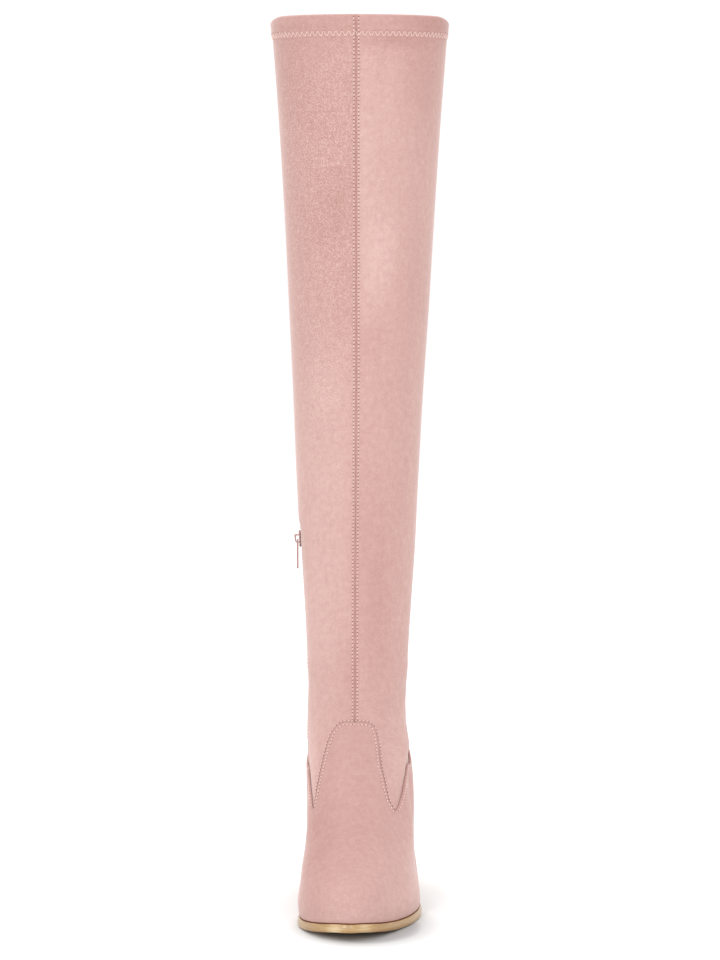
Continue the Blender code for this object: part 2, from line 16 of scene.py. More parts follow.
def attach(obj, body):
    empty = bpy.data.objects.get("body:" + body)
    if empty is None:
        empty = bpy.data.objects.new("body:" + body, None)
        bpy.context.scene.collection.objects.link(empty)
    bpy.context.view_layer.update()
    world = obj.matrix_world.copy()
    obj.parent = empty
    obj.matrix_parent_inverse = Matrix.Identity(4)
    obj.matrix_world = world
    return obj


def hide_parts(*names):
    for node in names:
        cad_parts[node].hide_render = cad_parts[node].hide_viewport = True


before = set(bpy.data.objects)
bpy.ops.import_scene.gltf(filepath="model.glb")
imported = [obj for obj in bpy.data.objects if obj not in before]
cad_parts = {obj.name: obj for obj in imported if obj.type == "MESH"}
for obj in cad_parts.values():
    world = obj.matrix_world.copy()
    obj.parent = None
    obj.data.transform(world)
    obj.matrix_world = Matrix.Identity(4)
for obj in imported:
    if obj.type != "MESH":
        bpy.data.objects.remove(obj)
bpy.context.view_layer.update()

# Foot and sole
FOOT_LENGTH = 0.232
HEEL_BACK = -0.031
BALL_INNER = 0.0381
BALL_OUTER = 0.0472
TOE_LEAN = -0.0045
TOE_LEAN_FROM = 0.45
WAIST_FROM = 0.08
WAIST_TO = 0.70
WAIST_EASE = 0.16
SEAT_HEIGHT = 0.078
TOE_SPRING = 0.0060
SOLE_EDGE = 0.0062
SOLE_WAIST = 0.0036
SOLE_LIP = 0.0010
THICK_FROM = 0.68
THINNING = 0.22
TREAD_DEPTH = 0.0010
TREAD_WIDTH = 0.0022
TREAD_PITCH = 0.0065
TREAD_COUNT = 7
TREAD_PLACE = 0.75
TREAD_MARGIN = 0.022

# Leg
ANKLE_HEIGHT = 0.158
ANKLE_WIDTH = 0.0776
ANKLE_FRONT = 0.062
ANKLE_BACK = -0.0275
COLLAR_HEIGHT = 0.668
COLLAR_WIDTH = 0.1349
COLLAR_LEAN = 0.0023
COLLAR_FRONT = 0.0835
COLLAR_BACK = -0.0545
CALF_BULGE = 0.0095
SHIN_HOLLOW = 0.0085

# Walls and clearances
UPPER_WALL = 0.0016
SHAFT_WALL = 0.0014
GAP = 0.0003
TUCK = 0.008
TUCK_SINK = 0.0004
HEM_HEIGHT = 0.0165
HEM_PROUD = 0.0006
HEM_WALL = 0.0032
HEM_STEP = 0.0012
HEM_ROUND = 0.0022
CORNER_DROP = 0.0031

# Heel
HEEL_BREAST = 0.026
HEEL_TIP_THICKNESS = 0.0062
HEEL_FOOT_WIDTH = 0.0480
HEEL_FOOT_BACK = -0.0225
HEEL_FOOT_FRONT = 0.0225
HEEL_INSET = 0.0012
HEEL_WAISTING = 0.75
LIFT_THICKNESS = 0.0044

# Zip
ZIP_TOP = 0.276
ZIP_SLIT = 0.0080
ZIP_HOLLOW = 0.0014
HOLLOW_END = 0.011
HOLLOW_LEVEL = 5.0
ZIP_REACH = math.radians(24)
ZIP_TAPE_THICKNESS = 0.0007
TAPE_HALF = 0.0105
SLIDER_LENGTH = 0.0125
SLIDER_TOP_WIDTH = 0.0088
SLIDER_LOW_WIDTH = 0.0068
SLIDER_PLATE = 0.0014
CROWN_WIDTH = 0.0020
CROWN_WALL = 0.0009
CROWN_SPAN = 0.0047
CROWN_TURN = 0.0014
CROWN_SWELL = 0.0008
PULL_THICKNESS = 0.0013
PULL_CLEARANCE = 0.00025

# The zip's coil: how far a turn reaches into its own tape and over the middle, and how far out
# it lies.
COIL_PITCH = 0.0015
COIL_RADIUS = 0.0004
COIL_TAIL = 0.0026
COIL_HEAD = 0.0011
COIL_OUT = 0.0018

# The upper's top edge: how thick it is and how far in it is thinned, on the counter and on the
# tongue, then how its corner is rounded and its stitches sink in.
EDGE_THICKNESS = (0.0015, 0.0010)
EDGE_THINNED = (0.006, 0.012)
EDGE_ROUND = 0.00035
EDGE_ROUND_REACH = 0.0006
ROW_SUNK = 0.0002
ROW_SUNK_HALF = 0.0007

# Seams, and how far each sewn row lies from its seam or edge
SEAM_DEPTH = 0.00085
SEAM_HALF = 0.0005
SEAM_RIDGE = 0.00022
SEAM_RIDGE_OFF = 0.0016
SEAM_RIDGE_HALF = 0.0012
# How dark the painted shade in a seam's groove is, and its half width.
SEAM_PAINTED_SHADE = 0.9
SEAM_PAINTED_SHADE_HALF = 0.00055
SEAM_SHIFT = 0.0003
SEAM_SHIFT_LOW = 0.0010
SHIFT_FROM = 0.42
SHIFT_FALL = 0.22
FRONT_ROW_OFF = 0.0018
BACK_ROW_OFF = 0.0021
UPPER_ROW_OFF = 0.0018
VAMP_ROW_OFF = 0.0017
SLIT_ROW_OFF = 0.0020

# How near a row may come to any stretch of the upper's edge, and the angle between its ends and
# the notches. Then where the leg's rows start, and how far past the slit its rows go.
UPPER_ROW_CLEAR = 0.00155
VAMP_ROW_CLEAR = 0.0014
TONGUE_ROW_GAP = 0.035
COUNTER_ROW_GAP = 0.03
FRONT_ROW_LEVEL = 8.2
BACK_ROW_RISE = 0.2
SLIT_ROW_LEVEL = 6.2
SLIT_ROW_PAST = 0.004

# The hem's zigzag.
ZIGZAG_PITCH = 0.00475
ZIGZAG_HEIGHT = 0.0042
ZIGZAG_UP = 0.0002

# The stitches of those rows, and of the hem's zigzag.
SEAM_STITCH = {"pitch": 0.0028, "radius": 0.00038, "lift": 0.00030, "hole_radius": 0.00058, "fill": 0.56}
UPPER_STITCH = {"pitch": 0.0029, "radius": 0.00038, "lift": 0.00030, "hole_radius": 0.00050, "fill": 0.58}
VAMP_STITCH = {"pitch": 0.0029, "radius": 0.00030, "lift": 0.00022, "hole_radius": 0.00036, "fill": 0.58}
SLIT_STITCH = {"pitch": 0.0030, "radius": 0.00030, "lift": 0.00020, "hole_radius": 0.00036, "fill": 0.62}
ZIGZAG_RADIUS = 0.00028
ZIGZAG_LIFT = 0.00030
ZIGZAG_HOLE = 0.00056

# The hem's relief above its lower edge: height, half height, how far it stands out.
HEM_SUNK = (0.0022, 0.0026, -0.00030)
HEM_PUCKERS = (0.0052, 0.0030, 0.00016)
HEM_FURROW = (0.0090, 0.0013, -0.00040)
HEM_FOLD = (0.0112, 0.0013, 0.00045)

# How the hem's furrow and fold wander up and down: how far, how often round the leg, from where.
HEM_WANDER = ((0.0010, 2.3, 0.6), (0.0005, 5.1, 0.0))

# Degrees from the side of the leg: where furrow and fold fade out, over how many degrees, and how
# far round the collar's drop reaches. It starts that high above the hem's lower edge.
FADE_FROM = 40
FADE_EASE = 34
CORNER_REACH = 34
CORNER_START = 0.006

# How finely the pieces are divided, and where rows lie on the step up to the hem and above it.
SHAFT_QUARTER = 34
SLIT_COLUMNS = 4
TUCK_ROWS = 26
ZIP_ROWS = 45
LEG_ROWS = 139
STEP_ROWS = (0, 0.0003, 0.0007, 0.0012)
ABOVE_STEP = 0.0018
HEM_ROWS = 18
UPPER_COLUMNS = 300
UPPER_ROWS = 44
EDGE_SAMPLES = 2400
SOLE_COLUMNS = 256
TAPE_ROWS = 150
TAPE_COLUMNS = 25

INNER_SIDE = math.pi / 2
FRONT = math.pi

# The sole's top line: share of the foot's length from the heel, share of the seat's rise, share
# of the toe spring.
SOLE_LINE = (
    (0.000, 1.000, 0.00),
    (0.100, 0.955, 0.00),
    (0.200, 0.880, 0.00),
    (0.285, 0.765, 0.00),
    (0.370, 0.590, 0.00),
    (0.457, 0.380, 0.00),
    (0.530, 0.205, 0.00),
    (0.595, 0.075, 0.00),
    (0.650, 0.013, 0.00),
    (0.700, 0.000, 0.00),
    (0.780, 0.000, 0.00),
    (0.850, 0.000, 0.10),
    (0.920, 0.000, 0.42),
    (1.000, 0.000, 1.00),
)

# The feather line in plan: share of the foot's length, then how full the inner and the outer
# side are against an ellipse of the foot's length and the ball's half width.
FULLNESS = (
    (0.00, 1.42, 1.18),
    (0.05, 1.28, 1.07),
    (0.12, 1.08, 0.89),
    (0.20, 0.88, 0.74),
    (0.30, 0.67, 0.66),
    (0.40, 0.57, 0.67),
    (0.50, 0.64, 0.79),
    (0.60, 0.85, 0.975),
    (0.66, 1.00, 1.05),
    (0.72, 1.10, 1.07),
    (0.78, 1.20, 1.06),
    (0.84, 1.265, 1.02),
    (0.90, 1.29, 0.985),
    (1.00, 1.33, 0.96),
)

# The rings of the foot, from the feather line to the ankle: front along the foot's length, front
# up from the toe to the ankle, back along the foot's length, back up from the seat to the ankle,
# half widths against the ball's (inner, outer), how far the ends of the outline have turned into
# an ellipse, how far its waist has, and how much of the sole's own curve the ring still has.
FOOT_RINGS = (
    (1.000, 0.000, 0.000, 0.00, 1.000, 1.000, 0.00, 0.00, 1.00),
    (1.002, 0.085, -0.010, 0.14, 1.017, 0.995, 0.00, 0.45, 1.00),
    (0.980, 0.152, -0.016, 0.28, 0.986, 0.936, 0.05, 0.64, 1.00),
    (0.929, 0.203, -0.016, 0.40, 0.979, 0.906, 0.16, 0.84, 0.96),
    (0.838, 0.268, -0.013, 0.51, 0.947, 0.888, 0.32, 0.97, 0.90),
    (0.732, 0.368, -0.007, 0.61, 0.934, 0.818, 0.52, 1.10, 0.80),
    (0.624, 0.504, -0.001, 0.70, 0.995, 0.840, 0.72, 1.00, 0.62),
    (0.526, 0.662, 0.004, 0.79, 1.012, 0.825, 0.88, 1.00, 0.40),
    (0.449, 0.830, 0.010, 0.89, 1.020, 0.802, 0.97, 1.00, 0.18),
)

# The rings of the leg: share of the way from the ankle to the collar, then how far the width,
# the front, the back and the outward lean have gone from the ankle's to the collar's, and the
# shares of the calf's bulge and of the hollow over the ankle.
LEG_RINGS = (
    (0.000, 0.000, 0.000, 0.000, 0.00, 0.00, 0.00),
    (0.055, 0.038, 0.020, 0.020, 0.05, 0.00, 0.65),
    (0.120, 0.103, 0.070, 0.070, 0.15, 0.10, 1.00),
    (0.210, 0.200, 0.150, 0.160, 0.20, 0.45, 1.00),
    (0.320, 0.295, 0.270, 0.290, 0.25, 0.85, 0.80),
    (0.440, 0.393, 0.410, 0.420, 0.45, 1.00, 0.55),
    (0.570, 0.520, 0.560, 0.550, 0.75, 0.70, 0.30),
    (0.700, 0.640, 0.700, 0.690, 0.92, 0.35, 0.12),
    (0.830, 0.778, 0.835, 0.830, 1.00, 0.10, 0.04),
    (0.930, 0.906, 0.935, 0.930, 1.05, 0.02, 0.00),
    (1.000, 1.000, 1.000, 1.000, 1.00, 0.00, 0.00),
)
ANKLE_LEVEL = float(len(FOOT_RINGS))
TOP_LEVEL = ANKLE_LEVEL + len(LEG_RINGS) - 1

# The upper's top edge: degrees from the back of the heel, then the level on the inner and on the
# outer side.
EDGE_LINE = (
    (0, 5.30, 5.30),
    (40, 5.15, 5.15),
    (80, 4.86, 4.62),
    (95, 5.19, 5.17),
    (101, 5.37, 5.46),
    (112, 5.70, 5.49),
    (119, 5.62, 5.29),
    (124, 5.44, 5.18),
    (129, 5.22, 5.16),
    (135, 5.69, 5.40),
    (140, 6.36, 5.63),
    (144, 6.92, 5.93),
    (148, 7.38, 6.34),
    (152, 7.68, 6.78),
    (155, 7.83, 7.44),
    (160, 8.00, 7.93),
    (168, 8.11, 8.09),
    (180, 8.13, 8.13),
)
NOTCH = math.radians(129)

# Soft creases of the leg: degrees from the front (outer side positive), height, half length,
# half width, tilt in degrees, bend of its line, how far it stands out.
CREASES = (
    (0, 0.176, 0.030, 0.0065, 0, 0.006, -0.0011),
    (-6, 0.189, 0.036, 0.0075, 4, 0.007, 0.0010),
    (8, 0.203, 0.030, 0.0085, -5, 0.006, -0.0007),
    (88, 0.114, 0.030, 0.0050, 0, 0.000, 0.0011),
    (84, 0.130, 0.030, 0.0060, 0, 0.000, -0.0009),
    (62, 0.168, 0.020, 0.0060, 24, 0.004, 0.0009),
    (58, 0.152, 0.022, 0.0055, 20, 0.003, -0.0010),
    (-60, 0.170, 0.020, 0.0060, -22, 0.004, 0.0008),
    (-56, 0.156, 0.020, 0.0055, -18, 0.003, -0.0008),
    (180, 0.142, 0.030, 0.0070, 3, -0.005, -0.0018),
    (174, 0.158, 0.032, 0.0075, -4, -0.006, 0.0014),
    (186, 0.174, 0.028, 0.0080, 5, -0.005, -0.0011),
    (140, 0.131, 0.022, 0.0060, 16, -0.003, -0.0011),
    (-142, 0.133, 0.022, 0.0060, -15, -0.003, -0.0010),
    (150, 0.190, 0.026, 0.0085, 12, -0.004, 0.0008),
    (-152, 0.196, 0.024, 0.0085, -12, -0.004, 0.0008),
    (176, 0.392, 0.034, 0.0100, 4, 0.007, -0.0013),
    (184, 0.414, 0.036, 0.0110, -3, 0.008, 0.0010),
    (172, 0.437, 0.032, 0.0100, 5, 0.006, -0.0009),
    (118, 0.300, 0.044, 0.0120, 62, 0.004, 0.0007),
    (-122, 0.330, 0.040, 0.0120, -60, 0.004, -0.0006),
    (24, 0.455, 0.060, 0.0150, 58, 0.004, 0.0006),
    (-26, 0.430, 0.060, 0.0150, -60, 0.004, -0.0005),
    (34, 0.330, 0.055, 0.0140, 70, 0.003, -0.0005),
)

# How the nap lies, as strokes of a hand over it, with painted light and shade in the same strokes:
# lighter ones at the edges of leg and foot are painted sheen, those in the V in front of the counter
# and along the foot's lower band are painted highlights, and darker ones at some rims are painted
# shade. Columns: panel (-1 inner, 1 outer, 0 both), degrees from the front, height, half width in
# degrees, half height, lean, then lighter or darker.
NAP_AND_LIGHT_STROKES = (
    (-1, -40, 0.560, 60, 0.150, 0.0, -0.62),
    (-1, -14, 0.524, 14, 0.026, 0.0, -0.30),
    (-1, -26, 0.560, 12, 0.020, 0.0, 0.22),
    (-1, -36, 0.478, 16, 0.020, 0.2, 0.20),
    (-1, -12, 0.450, 10, 0.030, 0.0, -0.20),
    (-1, -34, 0.330, 34, 0.100, 0.0, 0.60),
    (-1, -72, 0.628, 22, 0.030, 0.0, -0.55),
    (-1, -80, 0.268, 16, 0.020, 0.0, -0.80),
    (-1, -28, 0.392, 16, 0.024, 0.0, 0.30),
    (-1, -50, 0.210, 36, 0.080, 0.0, 0.50),
    (-1, -4, 0.300, 5, 0.200, 0.0, -0.22),
    (-1, -10, 0.165, 12, 0.030, 0.0, -0.40),
    # Painted highlights on the fabric in the V in front of the counter, on the inner side.
    (-1, -62, 0.118, 16, 0.030, 0.0, 0.60),
    (-1, -57, 0.096, 10, 0.020, 0.0, 0.80),
    (-1, -78, 0.150, 14, 0.040, 0.0, -0.55),
    (0, 0, 0.657, 180, 0.013, 0.0, -0.42),
    (1, 5, 0.560, 9, 0.090, 0.0, 0.55),
    (1, 18, 0.486, 13, 0.036, 0.25, 0.85),
    (1, 22, 0.610, 9, 0.050, 0.35, 0.35),
    (1, 56, 0.628, 26, 0.046, -0.2, -0.80),
    (1, 78, 0.660, 20, 0.012, 0.0, -0.75),
    (1, 60, 0.664, 40, 0.006, 0.0, -0.35),
    (1, 22, 0.6490, 16, 0.006, 0.0, -0.85),
    (1, 12, 0.425, 14, 0.022, 0.2, -0.25),
    (1, 50, 0.462, 18, 0.040, 0.2, -0.22),
    (1, 6, 0.392, 8, 0.020, 0.0, 0.18),
    (1, 30, 0.330, 40, 0.110, 0.0, -0.26),
    (1, 22, 0.228, 17, 0.060, 0.0, -0.55),
    # Painted sheen along the outer edge of the leg.
    (1, 70, 0.300, 20, 0.180, 0.0, 0.28),
    # A painted highlight in the V in front of the counter, on the outer side.
    (1, 60, 0.125, 18, 0.030, 0.0, 0.30),
    (0, 120, 0.520, 30, 0.080, 0.3, 0.35),
    (0, 150, 0.360, 26, 0.090, -0.2, -0.35),
    (0, -120, 0.420, 28, 0.100, 0.2, -0.30),
    (0, -150, 0.560, 26, 0.070, 0.2, 0.30),
    (0, 178, 0.230, 30, 0.060, 0.0, 0.25),
    (0, -100, 0.180, 24, 0.050, 0.0, 0.20),
)
# The same strokes on the foot: partly its nap, partly painted light and shade.
FOOT_STROKES = (
    (0, -14, 0.095, 9, 0.040, 0.0, 0.22),
    (0, 10, 0.062, 40, 0.012, 0.0, -0.20),
    (0, -12, 0.030, 14, 0.012, 0.0, 0.36),
    (0, 62, 0.045, 22, 0.030, 0.0, 0.30),
    (0, -28, 0.050, 24, 0.034, 0.0, -0.40),
    (0, -64, 0.040, 20, 0.022, 0.0, 0.25),
    (0, -40, 0.060, 14, 0.030, 0.0, -0.22),
    # Painted sheen at the foot's sides, then painted highlights along its lower band.
    (0, -60, 0.030, 10, 0.022, 0.0, 1.60),
    (0, 70, 0.030, 12, 0.022, 0.0, 1.00),
    (0, -84, 0.088, 16, 0.018, 0.0, 0.90),
    (0, 0, 0.014, 80, 0.012, 0.0, 0.50),
    (0, 45, 0.016, 25, 0.012, 0.0, 0.50),
    (0, 150, 0.100, 30, 0.026, 0.0, -0.25),
    (0, -150, 0.095, 30, 0.026, 0.0, 0.22),
)

# Half of the slider's outline: shares of its low half width, its top half width and its half
# length, from its low end up.
SLIDER_OUTLINE = (
    (0.72, 0.00, -1.00),
    (1.00, 0.00, -0.80),
    (1.00, 0.00, -0.24),
    (0.00, 1.00, 0.50),
    (0.00, 1.00, 0.82),
    (0.00, 0.75, 1.00),
)

# Where the nap is ruffled and shows its grain, in the columns of NAP_AND_LIGHT_STROKES.
GRAIN_STROKES = (
    (-1, -34, 0.600, 62, 0.060, 0.0, 1.00),
    (-1, -34, 0.500, 62, 0.075, 0.0, 0.95),
    (-1, -40, 0.400, 40, 0.050, 0.0, 0.35),
    (1, 20, 0.640, 30, 0.014, 0.0, 0.25),
    (0, 130, 0.480, 30, 0.080, 0.0, 0.40),
    (0, -150, 0.300, 30, 0.080, 0.0, 0.35),
)

# Painted highlights on the sole's varnished edge, at two places at the toe: x, half width, how much.
PAINTED_HIGHLIGHTS = ((-0.0158, 0.0058, 0.30), (0.0066, 0.0062, 0.27))

# A painted shadow on the floor under the raised forefoot, and its shade at half shares of its reach.
PAINTED_SHADOW_CENTRE = (0.008, -0.160, 0.0)
PAINTED_SHADOW_REACH = (0.036, 0.045, 1.0)
PAINTED_SHADOW_STOPS = (
    (0.45, (0.50, 0.49, 0.49)),
    (0.50, (0.56, 0.55, 0.55)),
    (0.57, (0.75, 0.75, 0.75)),
    (0.82, (1.00, 1.00, 1.00)),
)

# The photograph's point of view.
CAMERA_PLACE = (0.0025, -2.430, 0.560)
CAMERA_PITCH = -5.78
CAMERA_LENS = 118.16

# The lights: name, place, target, size across and along, power.
LIGHTS = (
    ("key", (-0.78, -2.35, 1.20), (0, 0, 0.3), (0.32, 1.4), 11),
    ("front", (0.14, -2.60, 0.95), (0, 0, 0.2), (0.30, 1.1), 5.5),
    ("fill", (1.90, -1.30, 1.20), (0, 0, 0.3), (1.00, 1.6), 3.5),
    ("top", (-0.15, 0.70, 2.40), (0, 0, 0.2), (1.40, 1.0), 27),
)
WORLD_STRENGTH = 1.06


def lerp(a, b, share):
    return a + (b - a) * share


def smooth(share):
    """Eases a share from 0 to 1."""
    share = np.clip(share, 0.0, 1.0)
    return share * share * (3 - 2 * share)


def bell(value, middle, half):
    """1 at the middle, and less and less on both sides of it."""
    return np.exp(-(((value - middle) / half) ** 2))


def curve(table, x, column):
    """A table's column at x, as a cubic through its rows that never overshoots them."""
    xs = np.array([row[0] for row in table], float)
    ys = np.array([row[column] for row in table], float)
    steps = np.diff(xs)
    slopes = np.diff(ys) / steps
    product = slopes[:-1] * slopes[1:]
    total = slopes[:-1] + slopes[1:]
    inner = np.where(product > 0, 2 * product / np.where(product > 0, total, 1.0), 0.0)
    tangents = np.concatenate([slopes[:1], inner, slopes[-1:]])
    x = np.clip(x, xs[0], xs[-1])
    i = np.clip(np.searchsorted(xs, x, side="right") - 1, 0, len(steps) - 1)
    width = steps[i]
    t = (x - xs[i]) / width
    return (
        lerp(ys[i], ys[i + 1], smooth(t))
        + tangents[i] * width * t * (1 - t) ** 2
        - tangents[i + 1] * width * t * t * (1 - t)
    )


def along_foot(forward):
    """The share of the foot's length at a forward position, 0 at the heel's back."""
    return np.clip((forward - HEEL_BACK) / FOOT_LENGTH, 0.0, 1.0)


def sole_top(forward):
    """The height of the sole's top at a forward position."""
    share = along_foot(forward)
    rise = curve(SOLE_LINE, share, 1) * (SEAT_HEIGHT - SOLE_EDGE)
    return SOLE_EDGE + rise + curve(SOLE_LINE, share, 2) * TOE_SPRING


def sole_bottom(forward):
    """The height of the sole's underside, which thins towards the waist."""
    thickness = lerp(SOLE_EDGE, SOLE_WAIST, smooth((THICK_FROM - along_foot(forward)) / THINNING))
    return sole_top(forward) - thickness


HEEL_TOP = float(sole_top(HEEL_BACK))
TOE_TOP = float(sole_top(HEEL_BACK + FOOT_LENGTH))


def sag(forward):
    """How far the sole's top lies above the straight line from the heel's back to the toe."""
    return sole_top(forward) - lerp(HEEL_TOP, TOE_TOP, along_foot(forward))


def foot_ring(row):
    """A ring's sizes: front and back (forward, height), half widths, then its three shares."""
    return (
        HEEL_BACK + row[0] * FOOT_LENGTH,
        lerp(TOE_TOP + GAP, ANKLE_HEIGHT, row[1]),
        HEEL_BACK + row[2] * FOOT_LENGTH,
        lerp(HEEL_TOP + GAP, ANKLE_HEIGHT, row[3]),
        row[4] * BALL_INNER,
        row[5] * BALL_OUTER,
        *row[6:],
    )


def leg_ring(row):
    """The same sizes for a ring of the leg, which is an ellipse and lies level."""
    height = lerp(ANKLE_HEIGHT, COLLAR_HEIGHT, row[0])
    half = lerp(ANKLE_WIDTH, COLLAR_WIDTH, row[1]) / 2
    lean = COLLAR_LEAN * row[4]
    front = lerp(ANKLE_FRONT, COLLAR_FRONT, row[2]) - row[6] * SHIN_HOLLOW
    back = lerp(ANKLE_BACK, COLLAR_BACK, row[3]) - row[5] * CALF_BULGE
    return (front, height, back, height, half - lean, half + lean, 1.0, 1.0, 0.0)


RINGS = np.array([foot_ring(row) for row in FOOT_RINGS] + [leg_ring(row) for row in LEG_RINGS])


def ring_at(level):
    """The sizes of the ring at any level, as a smooth curve through the rings."""
    level = np.clip(level, 0.0, TOP_LEVEL)
    last = len(RINGS) - 1
    i = np.minimum(level.astype(int), last - 1)
    t = level - i
    weights = (
        -0.5 * t + t * t - 0.5 * t**3,
        1 - 2.5 * t * t + 1.5 * t**3,
        0.5 * t + 2 * t * t - 1.5 * t**3,
        -0.5 * t * t + 0.5 * t**3,
    )
    mixed = sum(w[..., None] * RINGS[np.clip(i + k - 1, 0, last)] for k, w in enumerate(weights))
    return np.moveaxis(mixed, -1, 0)


def zip_hollow(angle, level, height):
    """How far the closed zip holds the stretch fabric in."""
    below_slider = smooth((ZIP_TOP + HOLLOW_END - height) / HOLLOW_END)
    above_foot = smooth((level - HOLLOW_LEVEL) / (ANKLE_LEVEL - HOLLOW_LEVEL))
    return ZIP_HOLLOW * bell(angle, INNER_SIDE, ZIP_REACH) * below_slider * above_foot


def form(angle, level):
    """Points of the upper's form at those angles and levels."""
    angle, level = np.broadcast_arrays(np.asarray(angle, float), np.asarray(level, float))
    angle = np.mod(angle, 2 * math.pi)
    front, front_z, back, back_z, inner, outer, ellipse, filled, sagging = ring_at(level)
    share = (1 - np.cos(angle)) / 2
    side = np.sin(angle)
    inward = side > 0
    fullness = np.where(inward, curve(FULLNESS, share, 1), curve(FULLNESS, share, 2))
    waist = smooth((share - WAIST_FROM) / WAIST_EASE) * smooth((WAIST_TO - share) / WAIST_EASE)
    full = lerp(fullness, 1.0, lerp(ellipse, filled, waist))
    half = np.where(inward, inner, outer) - zip_hollow(angle, level, front_z)
    lean = TOE_LEAN * smooth((share - TOE_LEAN_FROM) / (1 - TOE_LEAN_FROM)) * (1 - ellipse)
    forward = lerp(back, front, share)
    extra = sag(forward) - lerp(sag(back), sag(front), share)
    height = lerp(back_z, front_z, share) + sagging * extra
    return np.stack([lean - side * half * full, -forward, height], -1)


def unit(vectors):
    return vectors / np.maximum(np.linalg.norm(vectors, axis=-1, keepdims=True), 1e-12)


def outward(angle, level):
    """The form's outward normals, level at the feather line."""
    step = 1e-3
    low = np.maximum(level - step, 0.0)
    high = np.minimum(level + step, TOP_LEVEL)
    round_it = form(angle + step, level) - form(angle - step, level)
    up_it = form(angle, high) - form(angle, low)
    normal = unit(np.cross(round_it, up_it))
    normal[..., 2] *= smooth(level)
    return unit(normal)


def skin(angle, level, offset):
    """Points that lie offset outside the form. Near the feather line they follow the sole."""
    angle, level, offset = np.broadcast_arrays(
        np.asarray(angle, float), np.asarray(level, float), np.asarray(offset, float)
    )
    on_form = form(angle, level)
    point = on_form + outward(angle, level) * offset[..., None]
    follow = sole_top(-point[..., 1]) - sole_top(-on_form[..., 1])
    point[..., 2] += (1 - smooth(level)) * follow
    return point


def edge_level(angle):
    """The level of the upper's top edge at those angles."""
    degrees = np.mod(np.degrees(angle), 360)
    inner = curve(EDGE_LINE, np.minimum(degrees, 180), 1)
    outer = curve(EDGE_LINE, np.minimum(360 - degrees, 180), 2)
    return np.where(degrees <= 180, inner, outer)


LEVELS = np.linspace(ANKLE_LEVEL, TOP_LEVEL, 4001)
LEVEL_HEIGHTS = ring_at(LEVELS)[1]


def level_at(height):
    """The level of the leg's ring at that height."""
    return np.interp(height, LEVEL_HEIGHTS, LEVELS)


def arc(angle, level):
    """Metres of the form per radian of angle."""
    reach = form(np.asarray(angle) + 0.01, level) - form(np.asarray(angle) - 0.01, level)
    return np.linalg.norm(reach, axis=-1) / 0.02


def rise(angle, level):
    """Metres of the form per level."""
    step = form(angle, level + 0.02) - form(angle, level - 0.02)
    return np.linalg.norm(step, axis=-1) / 0.04


def turn_from_front(angle):
    """Degrees from the front, positive on the outer side."""
    return np.mod(np.degrees(angle), 360) - 180


def off_side(angle):
    """Degrees from the nearer side of the leg."""
    return np.abs(np.abs(turn_from_front(angle)) - 90)


def strokes(table, angle, height):
    """Adds up a table's soft strokes at those angles and heights."""
    turn = turn_from_front(angle)
    total = np.zeros(np.shape(turn))
    for panel, middle, level_height, wide, tall, lean, strength in table:
        u = (np.mod(turn - middle + 180, 360) - 180) / wide
        v = (height - level_height) / tall
        spot = np.exp(-((u - lean * v) ** 2) - v * v)
        if panel:
            spot = spot * (turn * panel > 0)
        total = total + strength * spot
    return total


def creases(angle, height, reach):
    """How far the leg's creases stand out at those angles and heights."""
    turn = np.radians(turn_from_front(angle))
    total = np.zeros(np.shape(turn))
    for middle, at, long, wide, tilt, bend, depth in CREASES:
        around = np.mod(turn - math.radians(middle) + math.pi, 2 * math.pi) - math.pi
        u, v = around * reach, height - at
        c, s = math.cos(math.radians(tilt)), math.sin(math.radians(tilt))
        along = (u * c + v * s) / long
        across = (v * c - u * s + bend * along**2) / wide
        total = total + depth * np.exp(-(across**2) - along**2)
    return total


def principled(name, **inputs):
    """A material with those Principled inputs, its node tree and its shader."""
    made = bpy.data.materials.new(name)
    made.use_nodes = True
    shader = made.node_tree.nodes["Principled BSDF"]
    for key, value in inputs.items():
        value = (*value, 1.0) if isinstance(value, tuple) else value
        shader.inputs[key.replace("_", " ")].default_value = value
    return made, made.node_tree, shader


